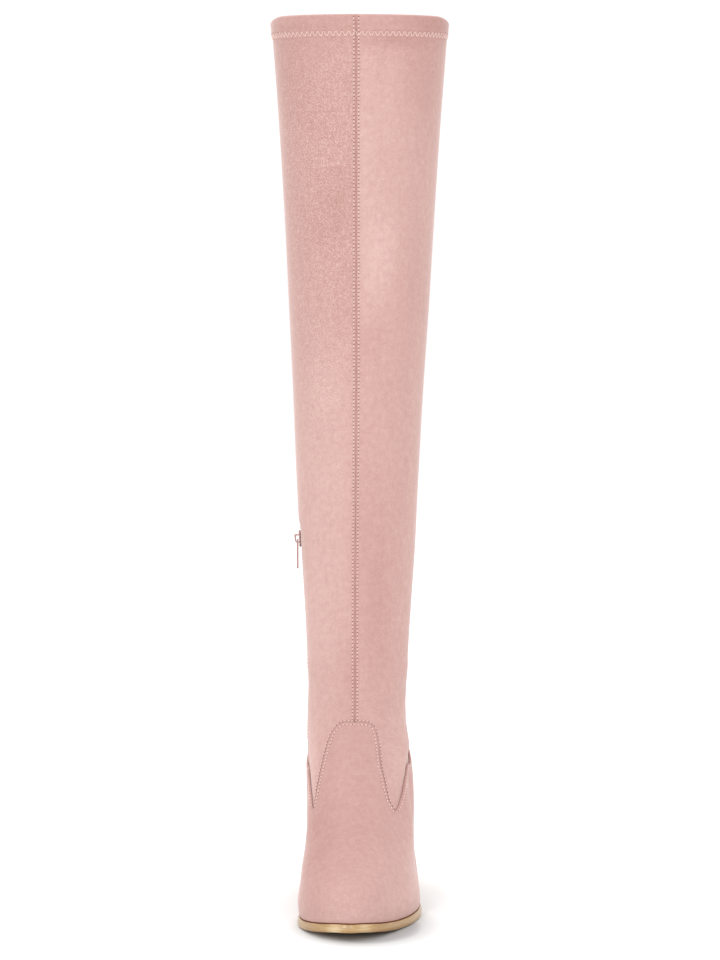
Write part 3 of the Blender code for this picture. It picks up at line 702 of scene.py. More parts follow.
class Nodes:
    """Short hands for building a material's nodes."""

    def __init__(self, tree):
        self.tree = tree

    def new(self, kind, **settings):
        node = self.tree.nodes.new(kind)
        for key, value in settings.items():
            setattr(node, key, value)
        return node

    def link(self, source, target):
        self.tree.links.new(source, target)

    def place(self, scale=(1, 1, 1)):
        """Object coordinates, scaled."""
        coordinates = self.new("ShaderNodeTexCoord")
        mapping = self.new("ShaderNodeMapping")
        mapping.inputs["Scale"].default_value = scale
        self.link(coordinates.outputs["Object"], mapping.inputs["Vector"])
        return mapping.outputs["Vector"]

    def axis(self, name):
        """Object coordinates along one axis."""
        split = self.new("ShaderNodeSeparateXYZ")
        self.link(self.place(), split.inputs["Vector"])
        return split.outputs[name]

    def noise(self, scale, detail=3.0, rough=0.55, stretch=(1, 1, 1), distortion=0.0):
        node = self.new("ShaderNodeTexNoise")
        node.inputs["Scale"].default_value = scale
        node.inputs["Detail"].default_value = detail
        node.inputs["Roughness"].default_value = rough
        node.inputs["Distortion"].default_value = distortion
        self.link(self.place(stretch), node.inputs["Vector"])
        return node.outputs["Fac"]

    def math(self, operation, a, b=0.0, c=0.0, clamp=False):
        node = self.new("ShaderNodeMath", operation=operation, use_clamp=clamp)
        for socket, value in zip(node.inputs, (a, b, c)):
            if isinstance(value, (int, float)):
                socket.default_value = value
            else:
                self.link(value, socket)
        return node.outputs[0]

    def around(self, value, amount):
        """A noise value turned into a signed share of amount."""
        return self.math("MULTIPLY_ADD", value, 2 * amount, -amount)

    def ramp(self, value, stops):
        node = self.new("ShaderNodeValToRGB")
        elements = node.color_ramp.elements
        while len(elements) < len(stops):
            elements.new(0.5)
        for element, (place, colour) in zip(elements, stops):
            element.position = place
            element.color = (*colour, 1.0)
        self.link(value, node.inputs["Fac"])
        return node.outputs["Color"]

    def mix(self, share, a, b, blend="MIX"):
        node = self.new("ShaderNodeMix", data_type="RGBA", blend_type=blend)
        for key, value in ((0, share), (6, a), (7, b)):
            if isinstance(value, (int, float)):
                node.inputs[key].default_value = value
            elif isinstance(value, tuple):
                node.inputs[key].default_value = (*value, 1.0)
            else:
                self.link(value, node.inputs[key])
        return node.outputs[2]

    def bump(self, height, distance, strength, shader):
        node = self.new("ShaderNodeBump")
        node.inputs["Distance"].default_value = distance
        node.inputs["Strength"].default_value = strength
        self.link(height, node.inputs["Height"])
        self.link(node.outputs["Normal"], shader.inputs["Normal"])


def suede_material():
    made, tree, shader = principled(
        "suede",
        Roughness=0.92,
        Sheen_Weight=0.45,
        Sheen_Roughness=0.35,
        Sheen_Tint=(1.0, 0.94, 0.92),
        Specular_IOR_Level=0.18,
    )
    n = Nodes(tree)
    # This attribute holds the nap's lie together with painted sheen, highlights, shade and shadow.
    nap_and_painted_light = n.new("ShaderNodeAttribute", attribute_name="nap_and_painted_light").outputs["Fac"]
    drift = n.around(n.noise(16, 3.0, 0.5, (1, 1, 0.6)), 0.55)
    pebble = n.around(n.noise(230, 3.0, 0.6), 0.95)
    brushed = n.around(n.noise(420, 2.0, 0.5, (1, 1, 0.16)), 0.30)
    ruffled = n.new("ShaderNodeAttribute", attribute_name="grain").outputs["Fac"]
    fibre = n.around(n.noise(1000, 2.0, 0.6), 1.1)
    fibre = n.math("MULTIPLY", fibre, n.math("MULTIPLY_ADD", ruffled, 3.0, 1.0))
    total = n.math("ADD", nap_and_painted_light, drift)
    for layer in (pebble, brushed, fibre):
        total = n.math("ADD", total, layer)
    share = n.math("MULTIPLY_ADD", total, 0.25, 0.5, clamp=True)
    colour = n.ramp(
        share,
        (
            (0.0, (0.412, 0.222, 0.198)),
            (0.5, (0.520, 0.323, 0.292)),
            (1.0, (0.652, 0.452, 0.414)),
        ),
    )
    n.link(colour, shader.inputs["Base Color"])
    relief = n.math("ADD", n.noise(900, 3.0, 0.6), n.math("MULTIPLY", n.noise(230, 3.0, 0.6), 1.2))
    n.bump(relief, 0.00022, 0.5, shader)
    return made


def flecked(name, noise, dark, light, relief=None, **inputs):
    """A material that runs from dark to light with a fine noise, which may be its relief too."""
    made, tree, shader = principled(name, **inputs)
    n = Nodes(tree)
    fleck = n.noise(*noise)
    n.link(n.ramp(fleck, ((0.3, dark), (0.7, light))), shader.inputs["Base Color"])
    if relief:
        n.bump(fleck, *relief, shader)
    return made


def sole_material():
    made, tree, shader = principled(
        "varnished_edge", Roughness=0.40, Coat_Weight=0.6, Coat_Roughness=0.10
    )
    n = Nodes(tree)
    streaks = n.noise(120, 4.0, 0.6, (0.25, 0.25, 9.0), 0.4)
    grain = n.noise(900, 3.0, 0.6, (0.3, 0.3, 2.0))
    total = n.math("MULTIPLY_ADD", grain, 0.30, n.math("MULTIPLY", streaks, 0.70))
    at_toe = n.math("MULTIPLY_ADD", n.axis("Y"), -30.0, -4.0, clamp=True)
    sideways = n.axis("X")
    # Painted highlights on the varnished edge at the toe.
    for middle, wide, strength in PAINTED_HIGHLIGHTS:
        off = n.math("MULTIPLY", n.math("SUBTRACT", sideways, middle), 1 / wide)
        fall = n.math("POWER", math.e, n.math("MULTIPLY", n.math("MULTIPLY", off, off), -1.0))
        total = n.math("MULTIPLY_ADD", n.math("MULTIPLY", fall, at_toe), strength, total)
    colour = n.ramp(
        total,
        (
            (0.28, (0.25, 0.125, 0.038)),
            (0.48, (0.385, 0.222, 0.082)),
            (0.64, (0.47, 0.295, 0.125)),
            (0.90, (0.66, 0.50, 0.30)),
        ),
    )
    n.link(colour, shader.inputs["Base Color"])
    n.bump(total, 0.00012, 0.35, shader)
    return made


def stack_material():
    made, tree, shader = principled(
        "stacked_heel", Roughness=0.36, Coat_Weight=0.45, Coat_Roughness=0.18
    )
    n = Nodes(tree)
    wobble = n.around(n.noise(40, 2.0), 0.0006)
    lift = n.math("MULTIPLY", n.math("ADD", n.axis("Z"), wobble), 1 / LIFT_THICKNESS)
    line = n.math("COMPARE", n.math("FRACT", lift), 0.03, 0.035)
    layer = n.new("ShaderNodeTexWhiteNoise", noise_dimensions="1D")
    n.link(n.math("FLOOR", lift), layer.inputs["W"])
    streaks = n.noise(150, 4.0, 0.6, (0.3, 0.3, 8.0), 0.4)
    total = n.math("MULTIPLY_ADD", layer.outputs["Value"], 0.35, n.math("MULTIPLY", streaks, 0.65))
    colour = n.ramp(
        total,
        (
            (0.25, (0.30, 0.165, 0.062)),
            (0.50, (0.47, 0.300, 0.125)),
            (0.75, (0.58, 0.400, 0.190)),
        ),
    )
    colour = n.mix(n.math("MULTIPLY", line, 0.6), colour, (0.20, 0.10, 0.04))
    n.link(colour, shader.inputs["Base Color"])
    relief = n.math("SUBTRACT", total, line)
    n.bump(relief, 0.00012, 0.4, shader)
    return made


def metal_material():
    made, tree, shader = principled("rose_metal", Metallic=1.0)
    n = Nodes(tree)
    wear = n.noise(700, 4.0, 0.65)
    colour = n.ramp(wear, ((0.3, (0.30, 0.165, 0.150)), (0.7, (0.46, 0.29, 0.265))))
    n.link(colour, shader.inputs["Base Color"])
    n.link(n.math("MULTIPLY_ADD", wear, 0.18, 0.20), shader.inputs["Roughness"])
    n.bump(n.noise(1600, 2.0), 0.00004, 0.3, shader)
    return made


def floor_material():
    made, tree, shader = principled("floor", Roughness=0.9, Specular_IOR_Level=0.1)
    n = Nodes(tree)
    away = n.new("ShaderNodeVectorMath", operation="LENGTH")
    n.link(n.place((0.5, 0.5, 0.5)), away.inputs[0])
    stops = (0.06, (0.86, 0.865, 0.87)), (0.30, (0.95, 0.95, 0.95))
    pale = n.ramp(away.outputs["Value"], stops)
    # A painted shadow under the raised forefoot.
    painted_shadow = n.new("ShaderNodeMapping", vector_type="TEXTURE")
    painted_shadow.inputs["Location"].default_value = PAINTED_SHADOW_CENTRE
    painted_shadow.inputs["Scale"].default_value = PAINTED_SHADOW_REACH
    n.link(n.place(), painted_shadow.inputs["Vector"])
    edge = n.new("ShaderNodeVectorMath", operation="LENGTH")
    n.link(painted_shadow.outputs["Vector"], edge.inputs[0])
    shade = n.ramp(n.math("MULTIPLY", edge.outputs["Value"], 0.5), PAINTED_SHADOW_STOPS)
    n.link(n.mix(1.0, pale, shade, "MULTIPLY"), shader.inputs["Base Color"])
    return made


def placed(name, data):
    """Links a new object of that data to the scene."""
    made = bpy.data.objects.new(name, data)
    bpy.context.scene.collection.objects.link(made)
    return made


def soften(mesh, degrees):
    """Shades a mesh smooth, but for the edges that are sharper than that."""
    mesh.shade_smooth()
    mesh.set_sharp_from_angle(angle=math.radians(degrees))


def solid(name, bm, *finishes):
    """An object of a bmesh, which is used up."""
    mesh = bpy.data.meshes.new(name)
    bm.to_mesh(mesh)
    bm.free()
    for finish in finishes:
        mesh.materials.append(finish)
    return placed(name, mesh)


def lofted(name, loops, finish):
    """A closed solid through loops of points, with a flat face at both ends."""
    bm = bmesh.new()
    verts = [[bm.verts.new(p) for p in loop] for loop in loops]
    for near, far in zip(verts, verts[1:]):
        for j in range(len(near)):
            k = (j + 1) % len(near)
            bm.faces.new((near[j], near[k], far[k], far[j]))
    bm.faces.new(verts[0])
    bm.faces.new(verts[-1])
    bmesh.ops.recalc_face_normals(bm, faces=bm.faces)
    made = solid(name, bm, finish)
    soften(made.data, 40)
    return made


def rounded(piece, width, segments):
    """Rounds a piece's sharp edges."""
    bevel = piece.modifiers.new("rounding", "BEVEL")
    bevel.width = width
    bevel.segments = segments
    bevel.limit_method = "ANGLE"
    bevel.angle_limit = math.radians(40)
    return piece


def round_grid(rows, columns):
    """The numbers of a grid of points whose columns run round, and its faces."""
    index = np.arange(rows * columns).reshape(rows, columns)
    beside = np.roll(index, -1, axis=1)
    walls = np.stack([index[:-1], beside[:-1], beside[1:], index[1:]], -1).reshape(-1, 4)
    return index, walls


def new_object(name, points, faces, finishes, slots=None, nap_and_painted_light=None, grain=None):
    """Makes an object of arrays of points and faces, without the points that no face uses."""
    used, faces = np.unique(faces, return_inverse=True)
    faces = faces.reshape(-1, 4) if faces.ndim == 1 else faces
    mesh = bpy.data.meshes.new(name)
    mesh.from_pydata(points[used].tolist(), [], faces.tolist())
    for finish in finishes:
        mesh.materials.append(finish)
    if slots is not None:
        mesh.polygons.foreach_set("material_index", np.asarray(slots, np.int32))
    for layer, values in (("nap_and_painted_light", nap_and_painted_light), ("grain", grain)):
        if values is not None:
            attribute = mesh.attributes.new(layer, "FLOAT", "POINT")
            attribute.data.foreach_set("value", np.asarray(values, np.float32)[used])
    soften(mesh, 50)
    return placed(name, mesh)


def double_wall(outer, inner, opened=None):
    """A closed wall between two grids whose columns run round: points, faces and their kinds."""
    rows, columns = outer.shape[:2]
    index = np.arange(rows * columns).reshape(rows, columns)
    beside = np.roll(index, -1, axis=1)
    here = np.ones((rows - 1, columns), bool) if opened is None else ~opened
    deep = rows * columns
    a, b, c, d = index[:-1], beside[:-1], beside[1:], index[1:]
    front = np.stack([a, b, c, d], -1)[here]
    back = np.stack([d, c, b, a], -1)[here] + deep
    none = np.zeros((1, columns), bool)
    above, below = np.vstack([here, none]), np.vstack([none, here])
    low, high = above & ~below, below & ~above
    before = np.roll(here, 1, axis=1)
    start, end = here & ~before, before & ~here
    rims = [
        np.stack([beside, index, index + deep, beside + deep], -1)[low],
        np.stack([index, beside, beside + deep, index + deep], -1)[high],
        np.stack([a, d, d + deep, a + deep], -1)[start],
        np.stack([d, a, a + deep, d + deep], -1)[end],
    ]
    rim = np.concatenate(rims)
    faces = np.concatenate([front, back, rim])
    kinds = np.repeat([0, 1, 0], [len(front), len(back), len(rim)])
    points = np.concatenate([outer.reshape(-1, 3), inner.reshape(-1, 3)])
    return points, faces, kinds


def dress(piece, body, slot, *nodes):
    """Rides a piece on its body, in the place of CAD nodes. The slot argument is not used."""
    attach(piece, body)
    if nodes:
        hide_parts(*nodes)


camera = placed("camera", bpy.data.cameras.new("camera"))
camera.data.sensor_fit = "VERTICAL"
camera.data.sensor_width = 36
camera.data.sensor_height = 36
camera.data.lens = CAMERA_LENS
camera.location = CAMERA_PLACE
camera.rotation_euler = (math.radians(90 + CAMERA_PITCH), 0, 0)
camera.data.clip_start, camera.data.clip_end = 0.05, 100
bpy.context.scene.camera = camera

# Where the leg's columns lie beside a seam, as shares of a quarter of the leg.
LEG_QUARTER = 0.085
SEAM_DENSE = np.array([0.0004, 0.0008, 0.0012, 0.0017, 0.0022, 0.0028, 0.0036]) / LEG_QUARTER


def spread(count, at_start, at_end):
    """Shares from 0 up to 1, closer together beside a seam."""
    shares = list(np.linspace(0, 1, count, endpoint=False))
    clear = SEAM_DENSE[-1] * 1.3
    if at_start:
        shares = [s for s in shares if s == 0 or s > clear] + list(SEAM_DENSE)
    if at_end:
        shares = [s for s in shares if s < 1 - clear] + list(1 - SEAM_DENSE)
    return np.array(sorted(shares))


def seam_shift(height):
    """How far the front seam has been drawn to the inner side, at a height."""
    return SEAM_SHIFT + SEAM_SHIFT_LOW * smooth((SHIFT_FROM - height) / SHIFT_FALL)


def off_seams(angle, reach, height):
    """Distances from the front seam and from the back seam."""
    turn = np.radians(turn_from_front(angle))
    return np.abs(turn * reach + seam_shift(height)), (math.pi - np.abs(turn)) * reach


def seam_groove(angle, reach, height):
    """The pressed open seams down the front and the back of the leg."""
    total = 0
    for off in off_seams(angle, reach, height):
        total = total - SEAM_DEPTH * bell(off, 0, SEAM_HALF)
        total = total + SEAM_RIDGE * bell(off, SEAM_RIDGE_OFF, SEAM_RIDGE_HALF)
    return total


def shaft_offset(height):
    """How far the leg's outside lies off the form, and how thick its wall is, at a height."""
    hem = COLLAR_HEIGHT - HEM_HEIGHT
    step = smooth((height - hem) / HEM_STEP)
    return HEM_PROUD * step, lerp(SHAFT_WALL, HEM_WALL, step)


def hem_relief(angle, height, reach):
    """The fold of the hem: sunk under the zigzag, puckered by it, and ridged where it ends."""
    up = height - COLLAR_HEIGHT + HEM_HEIGHT
    turn = np.radians(turn_from_front(angle))
    wander = sum(far * np.sin(often * turn + start) for far, often, start in HEM_WANDER)
    total = HEM_SUNK[2] * bell(up, *HEM_SUNK[:2])
    puckers = np.cos(turn * reach * 2 * math.pi / ZIGZAG_PITCH)
    total = total + HEM_PUCKERS[2] * bell(up, *HEM_PUCKERS[:2]) * puckers
    facing = 1 - smooth((FADE_FROM - off_side(angle)) / FADE_EASE)
    for middle, half, out in (HEM_FURROW, HEM_FOLD):
        total = total + out * bell(up - wander, middle, half) * facing
    return total


def corner_drop(angle, height):
    """How far the collar's top sinks at the two sides, where the empty leg folds flatter."""
    side = smooth((CORNER_REACH - off_side(angle)) / CORNER_REACH) ** 1.5
    above = height - COLLAR_HEIGHT + HEM_HEIGHT - CORNER_START
    up = smooth(above / (HEM_HEIGHT - CORNER_START))
    return CORNER_DROP * side * up


def leg_relief(angle, height, reach):
    """How far creases, seams and hem stand out of the leg."""
    relief = creases(angle, height, reach) + seam_groove(angle, reach, height)
    return relief + hem_relief(angle, height, reach)


def leg_surface(angle, level):
    """Points on the outside of the leg."""
    angle, level = np.broadcast_arrays(np.asarray(angle, float), np.asarray(level, float))
    height = form(angle, level)[..., 2]
    offset, _ = shaft_offset(height)
    point = skin(angle, level, offset + leg_relief(angle, height, arc(angle, level)))
    point[..., 2] -= corner_drop(angle, height)
    return point


def build_shaft(suede, lining):
    """The leg: one wall with its hem rolled at the top and the zip's slit left open."""
    quarters = (
        spread(SHAFT_QUARTER, False, True),
        spread(2 * SHAFT_QUARTER, True, True),
        spread(SHAFT_QUARTER, True, False),
    )
    slit_shares = np.linspace(0, 1, SLIT_COLUMNS, endpoint=False)
    tuck_rows = np.linspace(0, 1, TUCK_ROWS, endpoint=False)
    hem = COLLAR_HEIGHT - HEM_HEIGHT
    heights = np.concatenate(
        [
            np.linspace(ANKLE_HEIGHT, ZIP_TOP, ZIP_ROWS, endpoint=False),
            np.linspace(ZIP_TOP, hem, LEG_ROWS, endpoint=False),
            hem + np.array(STEP_ROWS),
            hem + np.linspace(ABOVE_STEP, HEM_HEIGHT - HEM_ROUND, HEM_ROWS, endpoint=False),
        ]
    )
    turns = np.radians([0, 18, 36, 54, 72, 84])
    rows = TUCK_ROWS + len(heights) + len(turns)
    plain = rows - len(turns)
    starting = np.array(
        [INNER_SIDE] * SLIT_COLUMNS
        + list(lerp(INNER_SIDE, FRONT, quarters[0]))
        + list(lerp(FRONT, 2 * math.pi, quarters[1]))
        + list(lerp(2 * math.pi, INNER_SIDE + 2 * math.pi, quarters[2]))
    )
    angles = np.tile(starting, (rows, 1))
    levels = np.zeros_like(angles)
    # The slit's angles depend on the levels beside it, and the tuck's levels on the angles.
    for _ in range(3):
        edge = edge_level(angles[:TUCK_ROWS])
        tuck = edge - TUCK / rise(angles[:TUCK_ROWS], edge)
        levels[:TUCK_ROWS] = lerp(tuck, ANKLE_LEVEL, tuck_rows[:, None])
        levels[TUCK_ROWS:plain] = level_at(heights)[:, None]
        levels[plain:] = level_at(COLLAR_HEIGHT - HEM_ROUND * (1 - np.sin(turns)))[:, None]
        half = ZIP_SLIT / 2 / arc(INNER_SIDE, levels[:, 0])
        low, high = INNER_SIDE - half[:, None], INNER_SIDE + half[:, None]
        angles = np.hstack(
            [
                lerp(low, high, slit_shares),
                lerp(high, FRONT, quarters[0]),
                np.tile(lerp(FRONT, 2 * math.pi, quarters[1]), (rows, 1)),
                lerp(2 * math.pi, low + 2 * math.pi, quarters[2]),
            ]
        )
    heights_here = form(angles, levels)[..., 2]
    reach = arc(angles, levels)
    offset, wall = shaft_offset(heights_here)
    relief = leg_relief(angles, heights_here, reach)
    sink = TUCK_SINK * (1 - smooth(tuck_rows / 0.5))
    offset[:TUCK_ROWS] -= sink[:, None]
    roll = HEM_ROUND * (1 - np.cos(turns))[:, None]
    offset[plain:] -= roll
    wall[plain:] -= roll + np.minimum(roll, HEM_WALL / 4)
    outer = skin(angles, levels, offset + relief)
    inner = skin(angles, levels, offset - wall + 0.6 * creases(angles, heights_here, reach))
    for wall_side in (outer, inner):
        wall_side[..., 2] -= corner_drop(angles, heights_here)
    slit_top = TUCK_ROWS + int(np.argmin(np.abs(heights - ZIP_TOP)))
    opened = np.zeros((rows - 1, angles.shape[1]), bool)
    opened[:slit_top, :SLIT_COLUMNS] = True
    points, faces, kinds = double_wall(outer, inner, opened)
    nap_and_painted_light = strokes(NAP_AND_LIGHT_STROKES, angles, heights_here)
    # Painted shade in the seam grooves.
    for off in off_seams(angles, reach, heights_here):
        nap_and_painted_light = nap_and_painted_light - SEAM_PAINTED_SHADE * bell(off, 0, SEAM_PAINTED_SHADE_HALF)
    nap_and_painted_light = np.tile(nap_and_painted_light.ravel(), 2)
    grain = np.tile(strokes(GRAIN_STROKES, angles, heights_here).ravel(), 2)
    return new_object("shaft_suede", points, faces, (suede, lining), kinds, nap_and_painted_light, grain)


def edge_cloud():
    """Points all along the upper's top edge."""
    angles = np.linspace(0, 2 * math.pi, EDGE_SAMPLES, endpoint=False)
    return form(angles, edge_level(angles))


EDGE_POINTS = edge_cloud()


def from_edge(points):
    """Distances of points from the upper's top edge."""
    flat = points.reshape(-1, 3)
    nearest = np.empty(len(flat))
    for first in range(0, len(flat), 1000):
        part = flat[first : first + 1000]
        gaps = part[:, None, :] - EDGE_POINTS[None, :, :]
        nearest[first : first + 1000] = np.sqrt((gaps**2).sum(-1).min(1))
    return nearest.reshape(points.shape[:-1])


def on_tongue(angle):
    """1 on the vamp in front of the notches, 0 on the counter behind them."""
    return smooth((math.radians(62) - np.abs(np.radians(turn_from_front(angle)))) / 0.2 + 0.2)


def upper_offset(angle, distance):
    """How far the upper's outside lies off the form, thinner at its top edge."""
    tongue = on_tongue(angle)
    full = GAP + UPPER_WALL
    edge = lerp(*EDGE_THICKNESS, tongue)
    thick = lerp(edge, full, smooth(distance / lerp(*EDGE_THINNED, tongue)))
    corner = EDGE_ROUND * (1 - np.clip(distance / EDGE_ROUND_REACH, 0, 1)) ** 2
    sewn = ROW_SUNK * bell(distance, UPPER_ROW_OFF, ROW_SUNK_HALF)
    return thick - corner - sewn


def upper_surface(angle, level):
    """Points on the outside of the upper."""
    distance = from_edge(form(angle, level))
    return skin(angle, level, upper_offset(angle, distance))


def build_upper(suede, lining, feather):
    """Vamp and counter: one wall from the feather line to the top edge."""
    angles = np.linspace(0, 2 * math.pi, UPPER_COLUMNS, endpoint=False)
    edge = edge_level(angles)
    spacing = rise(angles, edge)
    insets = np.array([9, 7.4, 6, 4.9, 4.0, 3.3, 2.7, 2.2, 1.8, 1.4, 1.0, 0.7, 0.45, 0.2, 0]) / 1000
    feet = np.array([0.0, 0.0007, 0.0015, 0.0026, 0.004, 0.006])
    low = feet[:, None] / rise(angles, 0.03)
    high = edge - insets[:, None] / spacing
    shares = np.linspace(0, 1, UPPER_ROWS + 2)[1:-1]
    middle = lerp(low[-1], high[0], shares[:, None])
    levels = np.vstack([low, middle, high])
    angles = np.tile(angles, (len(levels), 1))
    distance = from_edge(form(angles, levels))
    offset = upper_offset(angles, distance)
    turned_in = 0.0009 * (1 - smooth(np.arange(len(levels)) / 3.0))
    outer = skin(angles, levels, offset - turned_in[:, None])
    inner_offset = GAP * smooth(distance / 0.004) + 0.00005
    inner = skin(angles, levels, np.minimum(inner_offset, offset - turned_in[:, None] - 0.0003))
    points, faces, kinds = double_wall(outer, inner)
    kinds[:UPPER_COLUMNS] = 2
    heights = form(angles, levels)[..., 2]
    nap_and_painted_light = strokes(FOOT_STROKES, angles, heights) - 0.44
    # Painted shadow along the upper's top edge, strong on the counter and faint on the tongue.
    nap_and_painted_light = nap_and_painted_light - lerp(0.9, 0.15, on_tongue(angles)) * bell(distance, 0, 0.0008)
    nap_and_painted_light = np.tile(nap_and_painted_light.ravel(), 2)
    return new_object("upper_suede", points, faces, (suede, lining, feather), kinds, nap_and_painted_light)


def outline(angle, offset):
    """Points of the feather line in plan, moved out by offset, as x and forward."""
    flat, point = outward(angle, 0.0), form(angle, 0.0)
    return point[..., 0] + flat[..., 0] * offset, -(point[..., 1] + flat[..., 1] * offset)


def build_outsole(finish):
    """The sole, with its varnished edge rounded at the top and the bottom, and its tread."""
    count = SOLE_COLUMNS
    angles = np.linspace(0, 2 * math.pi, count, endpoint=False)
    lip = GAP + UPPER_WALL + SOLE_LIP
    profile = (
        (-0.0020, 1.0),
        (-0.00125, 1.0),
        (-0.00098, 0.985),
        (-0.00086, 0.945),
        (-0.00070, 0.88),
        (-0.00040, 0.74),
        (-0.00016, 0.58),
        (-0.00002, 0.40),
        (0.0, 0.24),
        (-0.00015, 0.13),
        (-0.00055, 0.04),
        (-0.0012, 0.0),
        (-0.0024, 0.0),
    )
    rings = []
    for offset, share in profile:
        x, forward = outline(angles, lip + offset)
        height = lerp(sole_bottom(forward), sole_top(forward), share)
        rings.append(np.stack([x, -forward, height], -1))
    rings = np.array(rings[::-1])
    index, walls = round_grid(len(rings), count)
    half = count // 2
    k = np.arange(1, half - 1)
    caps = []
    for ring, flip in ((index[0], True), (index[-1], False)):
        strip = np.stack([ring[k], ring[k + 1], ring[(count - k - 1) % count], ring[count - k]], -1)
        ends = [[ring[0], ring[1], ring[count - 1], ring[count - 1]]]
        ends += [[ring[half - 1], ring[half], ring[half + 1], ring[half + 1]]]
        strip = np.concatenate([strip, ends])
        caps.append(strip[:, ::-1] if flip else strip)
    bm = bmesh.new()
    verts = [bm.verts.new(p) for p in rings.reshape(-1, 3)]
    for face in np.concatenate([walls, *caps]):
        corners = list(dict.fromkeys(int(v) for v in face))
        bm.faces.new([verts[v] for v in corners])
    bmesh.ops.recalc_face_normals(bm, faces=bm.faces)
    sole = solid("outsole_edge", bm, finish)
    cut_tread(sole)
    soften(sole.data, 50)
    return sole


def cut_tread(sole):
    """Shallow ribs across the flat of the forefoot."""
    middle = HEEL_BACK + TREAD_PLACE * FOOT_LENGTH
    width = BALL_INNER + BALL_OUTER - TREAD_MARGIN
    bm = bmesh.new()
    for k in range(TREAD_COUNT):
        forward = middle + (k - (TREAD_COUNT - 1) / 2) * TREAD_PITCH
        place = Matrix.Translation(((BALL_OUTER - BALL_INNER) / 2, -forward, 0))
        size = Matrix.Diagonal((width, TREAD_WIDTH, 2 * TREAD_DEPTH, 1))
        bmesh.ops.create_cube(bm, size=1, matrix=place @ size)
    cutter = solid("tread_cutter", bm)
    cut = sole.modifiers.new("tread", "BOOLEAN")
    cut.operation = "DIFFERENCE"
    cut.solver = "EXACT"
    cut.object = cutter
    bpy.context.view_layer.update()
    shown = sole.evaluated_get(bpy.context.evaluated_depsgraph_get())
    shaped = bpy.data.meshes.new_from_object(shown)
    sole.modifiers.clear()
    sole.data = shaped
    bpy.data.objects.remove(cutter)


def build_heel(stack, rubber):
    """The stacked block under the seat, and its tip."""
    offset = GAP + UPPER_WALL + SOLE_LIP - HEEL_INSET
    breast_angle = math.acos(1 - 2 * float(along_foot(HEEL_BREAST)))
    half = np.linspace(breast_angle, 0, 37)
    angles = np.concatenate([half[:-1], 2 * math.pi - half[::-1]])
    x, forward = outline(angles, offset)
    across = np.linspace(0, 1, 12)[1:-1]
    x = np.concatenate([x, lerp(x[-1], x[0], across)])
    forward = np.concatenate([forward, lerp(forward[-1], forward[0], across)])
    wide, middle = x.max() - x.min(), (x.max() + x.min()) / 2
    low_x = (x - middle) / wide * HEEL_FOOT_WIDTH
    share = (forward - forward.min()) / (forward.max() - forward.min())
    low_forward = lerp(HEEL_FOOT_BACK, HEEL_FOOT_FRONT, share)
    bottom = HEEL_TIP_THICKNESS + GAP
    down = np.linspace(0, 1, 25)[:, None]
    taper = down**HEEL_WAISTING
    block = np.stack(
        [
            lerp(x, low_x, taper),
            -lerp(forward, low_forward, taper),
            lerp(sole_bottom(forward) - GAP, bottom, down),
        ],
        -1,
    )
    heights = np.array([HEEL_TIP_THICKNESS, HEEL_TIP_THICKNESS / 2, 0])[:, None]
    tip = np.stack(np.broadcast_arrays(low_x, -low_forward, heights), -1)
    return (
        rounded(lofted("heel_block", block, stack), 0.0005, 2),
        rounded(lofted("heel_top_piece", tip, rubber), 0.0005, 2),
    )


def lengths_along(points):
    """How far each point lies along the line through them."""
    return np.concatenate([[0], np.cumsum(np.linalg.norm(np.diff(points, axis=0), axis=1))])


def resample(angles, levels, pitch):
    """Angles and levels every half pitch along a line on the form."""
    lengths = lengths_along(form(angles, levels))
    count = max(2, int(round(lengths[-1] / pitch)))
    places = np.linspace(0, lengths[-1], 2 * count + 1)
    return np.interp(places, lengths, angles), np.interp(places, lengths, levels)


def moved(angle, level, across):
    """A line of angles and levels, moved sideways on the form by across, to its left."""
    tangent = unit(np.gradient(form(angle, level), axis=0))
    shift = np.cross(outward(angle, level), tangent) * across
    to_angle = (form(angle + 0.005, level) - form(angle - 0.005, level)) / 0.01
    to_level = (form(angle, level + 0.01) - form(angle, level - 0.01)) / 0.02
    aa = (to_angle * to_angle).sum(-1)
    bb = (to_level * to_level).sum(-1)
    ab = (to_angle * to_level).sum(-1)
    sa = (shift * to_angle).sum(-1)
    sb = (shift * to_level).sum(-1)
    fall = aa * bb - ab * ab
    return angle + (sa * bb - sb * ab) / fall, level + (sb * aa - sa * ab) / fall


def tubes(centres, normals, radii, sides=7):
    """Closed tubes: centres (n, stations, 3), a normal each, and a radius at each station."""
    n, stations = centres.shape[:2]
    tangents = unit(np.gradient(centres, axis=1))
    up = normals[:, None, :] - (normals[:, None, :] * tangents).sum(-1, keepdims=True) * tangents
    up = unit(up)
    side = np.cross(tangents, up)
    turns = 2 * math.pi * np.arange(sides) / sides
    ring = (
        up[:, :, None, :] * np.cos(turns)[None, None, :, None]
        + side[:, :, None, :] * np.sin(turns)[None, None, :, None]
    )
    points = centres[:, :, None, :] + ring * np.asarray(radii)[None, :, None, None]
    _, walls = round_grid(stations, sides)
    firsts = np.arange(n) * stations * sides
    faces = (walls[None] + firsts[:, None, None]).reshape(-1, 4)
    return points.reshape(-1, 3), faces


def thread_piece(name, starts, ends, normals, radius, lift, finish):
    """Stitches between pairs of points: each rises out of its hole and dives back in."""
    shares = np.array([0.0, 0.0, 0.14, 0.38, 0.62, 0.86, 1.0, 1.0])
    rises = np.array([-0.5, -0.5, 0.55, 1.0, 1.0, 0.55, -0.5, -0.5]) * lift
    radii = np.array([0.05, 0.75, 0.95, 1.0, 1.0, 0.95, 0.75, 0.05]) * radius
    centres = lerp(starts[:, None, :], ends[:, None, :], shares[None, :, None])
    centres = centres + normals[:, None, :] * rises[None, :, None]
    along = unit(ends - starts)
    centres[:, 0] -= along * radius * 0.3
    centres[:, -1] += along * radius * 0.3
    points, faces = tubes(centres, normals, radii)
    return new_object(name, points, faces, (finish,))


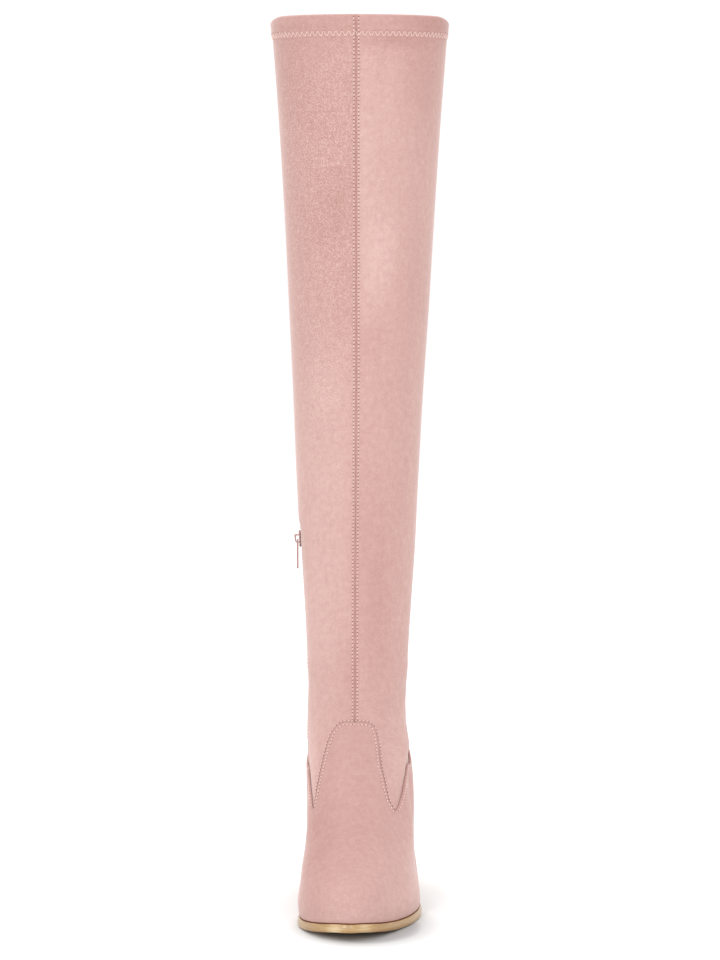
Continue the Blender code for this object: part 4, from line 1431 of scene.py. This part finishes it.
def hole_piece(name, places, normals, radius, finish):
    """Needle holes, as small rings that stand round their mouths, dark with painted shade."""
    n = len(places)
    sides = 8
    helper = np.where(np.abs(normals[:, 2:3]) < 0.8, [[0.0, 0.0, 1.0]], [[1.0, 0.0, 0.0]])
    a = unit(np.cross(normals, helper))
    b = np.cross(normals, a)
    turns = 2 * math.pi * np.arange(sides) / sides
    ring = a[:, None] * np.cos(turns)[None, :, None] + b[:, None] * np.sin(turns)[None, :, None]
    layers = []
    for out, up in ((1.0, -0.9), (1.0, 0.0), (0.72, 0.10), (0.02, 0.14), (0.02, -0.9)):
        layers.append(places[:, None] + ring * radius * out + normals[:, None] * radius * up)
    points = np.stack(layers, 1)
    stations = len(layers)
    index = np.arange(stations * sides).reshape(stations, sides)
    beside = np.roll(index, -1, axis=1)
    after = np.roll(index, -1, axis=0)
    beside_after = np.roll(beside, -1, axis=0)
    walls = np.stack([index, beside, beside_after, after], -1).reshape(-1, 4)
    firsts = np.arange(n) * stations * sides
    faces = (walls[None] + firsts[:, None, None]).reshape(-1, 4)
    return new_object(name, points.reshape(-1, 3), faces, (finish,))


def sew(name, lines, surface, finishes, pitch, radius, lift, hole_radius, fill):
    """Rows of stitches with a needle hole between each two, along lines on a surface."""
    starts, ends, normals, holes, hole_normals = [], [], [], [], []
    for angles, levels in lines:
        angle, level = resample(angles, levels, pitch)
        at = surface(angle, level)
        normal = outward(angle, level)
        middle, before, after = at[1::2], at[0:-1:2], at[2::2]
        starts.append(middle + (before - middle) * fill)
        ends.append(middle + (after - middle) * fill)
        normals.append(normal[1::2])
        holes.append(at[0::2])
        hole_normals.append(normal[0::2])
    starts, ends, normals = (np.concatenate(rows) for rows in (starts, ends, normals))
    threads = thread_piece(name, starts, ends, normals, radius, lift, finishes[0])
    places, ways = np.concatenate(holes), np.concatenate(hole_normals)
    return threads, hole_piece(name + "_holes", places, ways, hole_radius, finishes[1])


def seam_rows():
    """Two rows beside the front seam and two beside the back seam."""
    top = float(level_at(COLLAR_HEIGHT - HEM_ROUND * 0.8))
    line = np.linspace(FRONT_ROW_LEVEL, TOP_LEVEL, 700)
    line = line[line < top]
    for side in (-1, 1):
        away = side * FRONT_ROW_OFF - seam_shift(form(FRONT, line)[..., 2])
        yield FRONT + away / arc(FRONT, line), line
    line = np.linspace(float(edge_level(0.0)) + BACK_ROW_RISE, top, 700)
    for side in (-1, 1):
        yield 2 * math.pi + side * BACK_ROW_OFF / arc(2 * math.pi - 1e-4, line), line


def edge_row(angles, across, clear):
    """A row beside the upper's top edge, left out where another stretch of it is too near."""
    angle, level = moved(angles, edge_level(angles), across)
    keep = from_edge(form(angle, level)) > clear
    return angle[keep], level[keep]


def slit_rows():
    """A row on each side of the zip's slit."""
    line = np.linspace(SLIT_ROW_LEVEL, float(level_at(ZIP_TOP + SLIT_ROW_PAST)), 500)
    for side in (-1, 1):
        away = (ZIP_SLIT / 2 + SLIT_ROW_OFF) / arc(INNER_SIDE, line)
        yield INNER_SIDE + side * away, line


def build_stitching(thread, hole):
    """Every sewn row on the boot."""
    full = 2 * math.pi
    tongue = np.linspace(NOTCH + TONGUE_ROW_GAP, full - NOTCH - TONGUE_ROW_GAP, 900)
    counter = np.linspace(full - NOTCH + COUNTER_ROW_GAP, full + NOTCH - COUNTER_ROW_GAP, 1200)
    on_upper = [edge_row(line, -UPPER_ROW_OFF, UPPER_ROW_CLEAR) for line in (tongue, counter)]
    beside = [edge_row(tongue, VAMP_ROW_OFF, VAMP_ROW_CLEAR)]
    made = []
    for name, rows, surface, stitch in (
        ("seam_stitches", seam_rows(), leg_surface, SEAM_STITCH),
        ("upper_stitches", on_upper, upper_surface, UPPER_STITCH),
        ("vamp_seam_stitches", beside, leg_surface, VAMP_STITCH),
        ("zip_stitches", slit_rows(), leg_surface, SLIT_STITCH),
    ):
        made.append(sew(name, rows, surface, (thread, hole), **stitch))
    made.append(build_zigzag(thread, hole))
    return made


def build_zigzag(thread, hole):
    """The hem's zigzag, a thread up and down between its two rows of needle holes."""
    angles = np.linspace(0, 2 * math.pi, 4001)
    low_height = COLLAR_HEIGHT - HEM_HEIGHT + ZIGZAG_UP
    low, high = level_at(low_height), level_at(low_height + ZIGZAG_HEIGHT)
    middle = level_at(low_height + ZIGZAG_HEIGHT / 2)
    lengths = lengths_along(form(angles, middle))
    count = int(round(lengths[-1] / ZIGZAG_PITCH))
    places = np.interp(np.linspace(0, lengths[-1], 2 * count + 1), lengths, angles)
    levels = np.where(np.arange(2 * count + 1) % 2 == 0, low, high)
    at = leg_surface(places, levels)
    normal = outward(places, levels)
    between = unit(normal[:-1] + normal[1:])
    threads = thread_piece("hem_zigzag", at[:-1], at[1:], between, ZIGZAG_RADIUS, ZIGZAG_LIFT, thread)
    mouths = hole_piece("hem_zigzag_holes", at[:-1], normal[:-1], ZIGZAG_HOLE, hole)
    return threads, mouths


def build_zip(tape_finish, teeth_finish):
    """The woven tape behind the slit and the closed coil in it."""
    tape_out = -(SHAFT_WALL + GAP)
    edge = edge_level(INNER_SIDE)
    lowest, highest = float(edge - TUCK / rise(INNER_SIDE, edge)), float(level_at(ZIP_TOP - GAP))
    levels = np.linspace(lowest, highest, TAPE_ROWS)[:, None]
    across = np.linspace(-TAPE_HALF, TAPE_HALF, TAPE_COLUMNS)
    turn = np.concatenate([across, across[::-1]]) / arc(INNER_SIDE, levels)
    offset = np.repeat([tape_out, tape_out - ZIP_TAPE_THICKNESS], TAPE_COLUMNS)
    points = skin(INNER_SIDE + turn, levels, offset)
    index, walls = round_grid(TAPE_ROWS, 2 * TAPE_COLUMNS)
    k = np.arange(TAPE_COLUMNS - 1)
    bottom, top = (
        np.stack([loop[k], loop[k + 1], loop[::-1][k + 1], loop[::-1][k]], -1)
        for loop in index[[0, -1]]
    )
    faces = np.concatenate([walls, bottom[:, ::-1], top])
    tape = new_object("zip_tape", points.reshape(-1, 3), faces, (tape_finish,))

    line = np.linspace(lowest, highest, 800)
    angle, level = resample(np.full(800, INNER_SIDE), line, COIL_PITCH)
    side = np.where(np.arange(len(level)) % 2 == 0, 1.0, -1.0)
    shares = np.array([0.0, 0.02, 0.10, 0.35, 0.65, 0.90, 0.98, 1.0])
    span = lerp(-COIL_TAIL, COIL_HEAD, shares)
    turn = side[:, None] * span / arc(angle, level)[:, None]
    lift = np.array([-0.0012, -0.0009, -0.0005, -0.00035, -0.00035, -0.0005, -0.0009, -0.0012])
    centres = skin(INNER_SIDE + turn, level[:, None], tape_out + COIL_OUT + lift)
    radii = np.array([0.05, 0.7, 1.0, 1.0, 1.0, 1.0, 0.7, 0.05]) * COIL_RADIUS
    points, faces = tubes(centres, outward(angle, level), radii, 8)
    teeth = new_object("zip_coil", points, faces, (teeth_finish,))
    return tape, teeth


def build_slider(metal):
    """The slider's plate, and its crown, a bent loop that is thickest at its upper corner."""
    top = skin(INNER_SIDE, level_at(ZIP_TOP), GAP)
    low = skin(INNER_SIDE, level_at(ZIP_TOP - SLIDER_LENGTH), GAP)
    up = unit((top - low) * (1, 0, 1))
    across = np.array([0.0, -1.0, 0.0])
    out = np.cross(across, up)
    axes, origin = np.stack([out, across, up]), (top + low) / 2

    half = []
    for low_share, top_share, end_share in SLIDER_OUTLINE:
        half_width = (low_share * SLIDER_LOW_WIDTH + top_share * SLIDER_TOP_WIDTH) / 2
        half.append((half_width, end_share * SLIDER_LENGTH / 2))
    both = half + [(-y, z) for y, z in reversed(half)]
    plate = [[(x, y, z) for y, z in both] for x in (0.0, SLIDER_PLATE)]

    reach = SLIDER_PLATE + 2 * (PULL_THICKNESS * math.sqrt(0.5) + PULL_CLEARANCE) + CROWN_WALL / 2
    arm = (CROWN_SPAN + CROWN_WALL) / 2
    bends = np.linspace(0, math.pi / 2, 9)
    path, ways = [(SLIDER_PLATE / 2, arm)], [(0.0, 1.0)]
    for side, some in ((1, bends), (-1, bends[::-1])):
        for turn in some:
            way = (math.sin(turn), side * math.cos(turn))
            along = side * (arm - CROWN_TURN) + CROWN_TURN * way[1]
            path.append((reach - CROWN_TURN * (1 - way[0]), along))
            ways.append(way)
    path.append((SLIDER_PLATE / 2, -arm))
    ways.append((0.0, -1.0))
    turns = 2 * math.pi * np.arange(16) / 16
    rim = np.stack([np.cos(turns), np.sin(turns)], -1)
    rim = np.sign(rim) * np.abs(rim) ** 0.6
    crown = []
    for k, ((x, z), (way_x, way_z)) in enumerate(zip(path, ways)):
        swell = CROWN_SWELL * math.exp(-(((k - 5) / 3.5) ** 2))
        loop = []
        for radial, sideways in rim:
            depth = radial * CROWN_WALL / 2 + max(radial, 0.0) * swell
            loop.append((x + way_x * depth, sideways * CROWN_WIDTH / 2, z + way_z * depth))
        crown.append(loop)
    plate, crown = (origin + np.array(loops) @ axes for loops in (plate, crown))
    plate = rounded(lofted("slider_plate", plate, metal), 0.00045, 3)
    return plate, lofted("slider_crown", crown, metal)


def paint_node(name, finish):
    """Gives a CAD node that the scene keeps its finish."""
    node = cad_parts[name]
    node.data.materials.clear()
    node.data.materials.append(finish)


def area_light(name, place, target, size, energy):
    """A soft box that faces its target."""
    light = bpy.data.lights.new(name, "AREA")
    light.shape = "RECTANGLE"
    light.size, light.size_y = size
    light.energy = energy
    made = placed(name, light)
    made.location = place
    made.rotation_euler = (Vector(target) - Vector(place)).to_track_quat("-Z", "Y").to_euler()


suede = suede_material()
metal = metal_material()
lining = flecked(
    "lining", (900, 2.0, 0.6, (1, 1, 0.4)), (0.58, 0.42, 0.36), (0.70, 0.55, 0.48), (0.0002, 0.5),
    Roughness=0.9, Sheen_Weight=0.1, Specular_IOR_Level=0.2,
)
thread = flecked(
    "thread", (2600, 1.0, 0.5, (1, 1, 1), 1.0), (0.64, 0.43, 0.385), (0.80, 0.61, 0.56), (0.0001, 0.4),
    Roughness=0.55, Sheen_Weight=0.2,
)
# The needle holes' dark colour is painted shade.
hole = flecked("needle_hole_shade", (1800, 2.0), (0.20, 0.070, 0.062), (0.32, 0.14, 0.12), Roughness=0.95)
feather = flecked("feather_line", (700, 3.0), (0.17, 0.045, 0.026), (0.27, 0.09, 0.055), Roughness=0.7)
rubber = flecked(
    "heel_rubber", (900, 4.0, 0.7), (0.16, 0.095, 0.05), (0.24, 0.15, 0.085), (0.00015, 0.4),
    Roughness=0.62,
)
weave = flecked(
    "zip_tape", (1400, 1.0, 0.5, (1, 1, 0.5)), (0.50, 0.27, 0.25), (0.64, 0.39, 0.36), (0.0002, 0.6),
    Roughness=0.8, Sheen_Weight=0.15,
)
coil = flecked("zip_coil", (500, 2.0), (0.56, 0.31, 0.28), (0.68, 0.42, 0.38), Roughness=0.38)

dress(build_shaft(suede, lining), "boot", "shaft_suede", "shaft")
dress(build_upper(suede, lining, feather), "boot", "foot_suede", "upper")
dress(build_outsole(sole_material()), "boot", "sole_edge", "outsole")
block, top_piece = build_heel(stack_material(), rubber)
dress(block, "boot", "heel_stack", "heel")
dress(top_piece, "boot", "heel_rubber", "heel_tip")
tape, teeth = build_zip(weave, coil)
dress(tape, "boot", "zip_tape", "zip_chain")
dress(teeth, "boot", "zip_tape")
for pair in build_stitching(thread, hole):
    for piece in pair:
        dress(piece, "boot", "shaft_suede")
paint_node("insole", lining)
plate, crown = build_slider(metal)
dress(plate, "boot", "zip_metal", "zip_slider")
dress(crown, "boot", "zip_metal")
paint_node("zip_pull", metal)

# The floor and the light: a pale seamless ground under a soft studio dome, with a painted
# shadow on the floor under the toe.
bpy.ops.mesh.primitive_plane_add(size=60, location=(0, 0, 0))
floor = bpy.context.object
floor.name = "floor"
floor.data.materials.append(floor_material())

world = bpy.data.worlds.new("studio")
world.use_nodes = True
dome = world.node_tree.nodes["Background"]
dome.inputs["Color"].default_value = (1, 1, 1, 1)
dome.inputs["Strength"].default_value = WORLD_STRENGTH
bpy.context.scene.world = world
bpy.context.scene.view_settings.view_transform = "Standard"
for light in LIGHTS:
    area_light(*light)
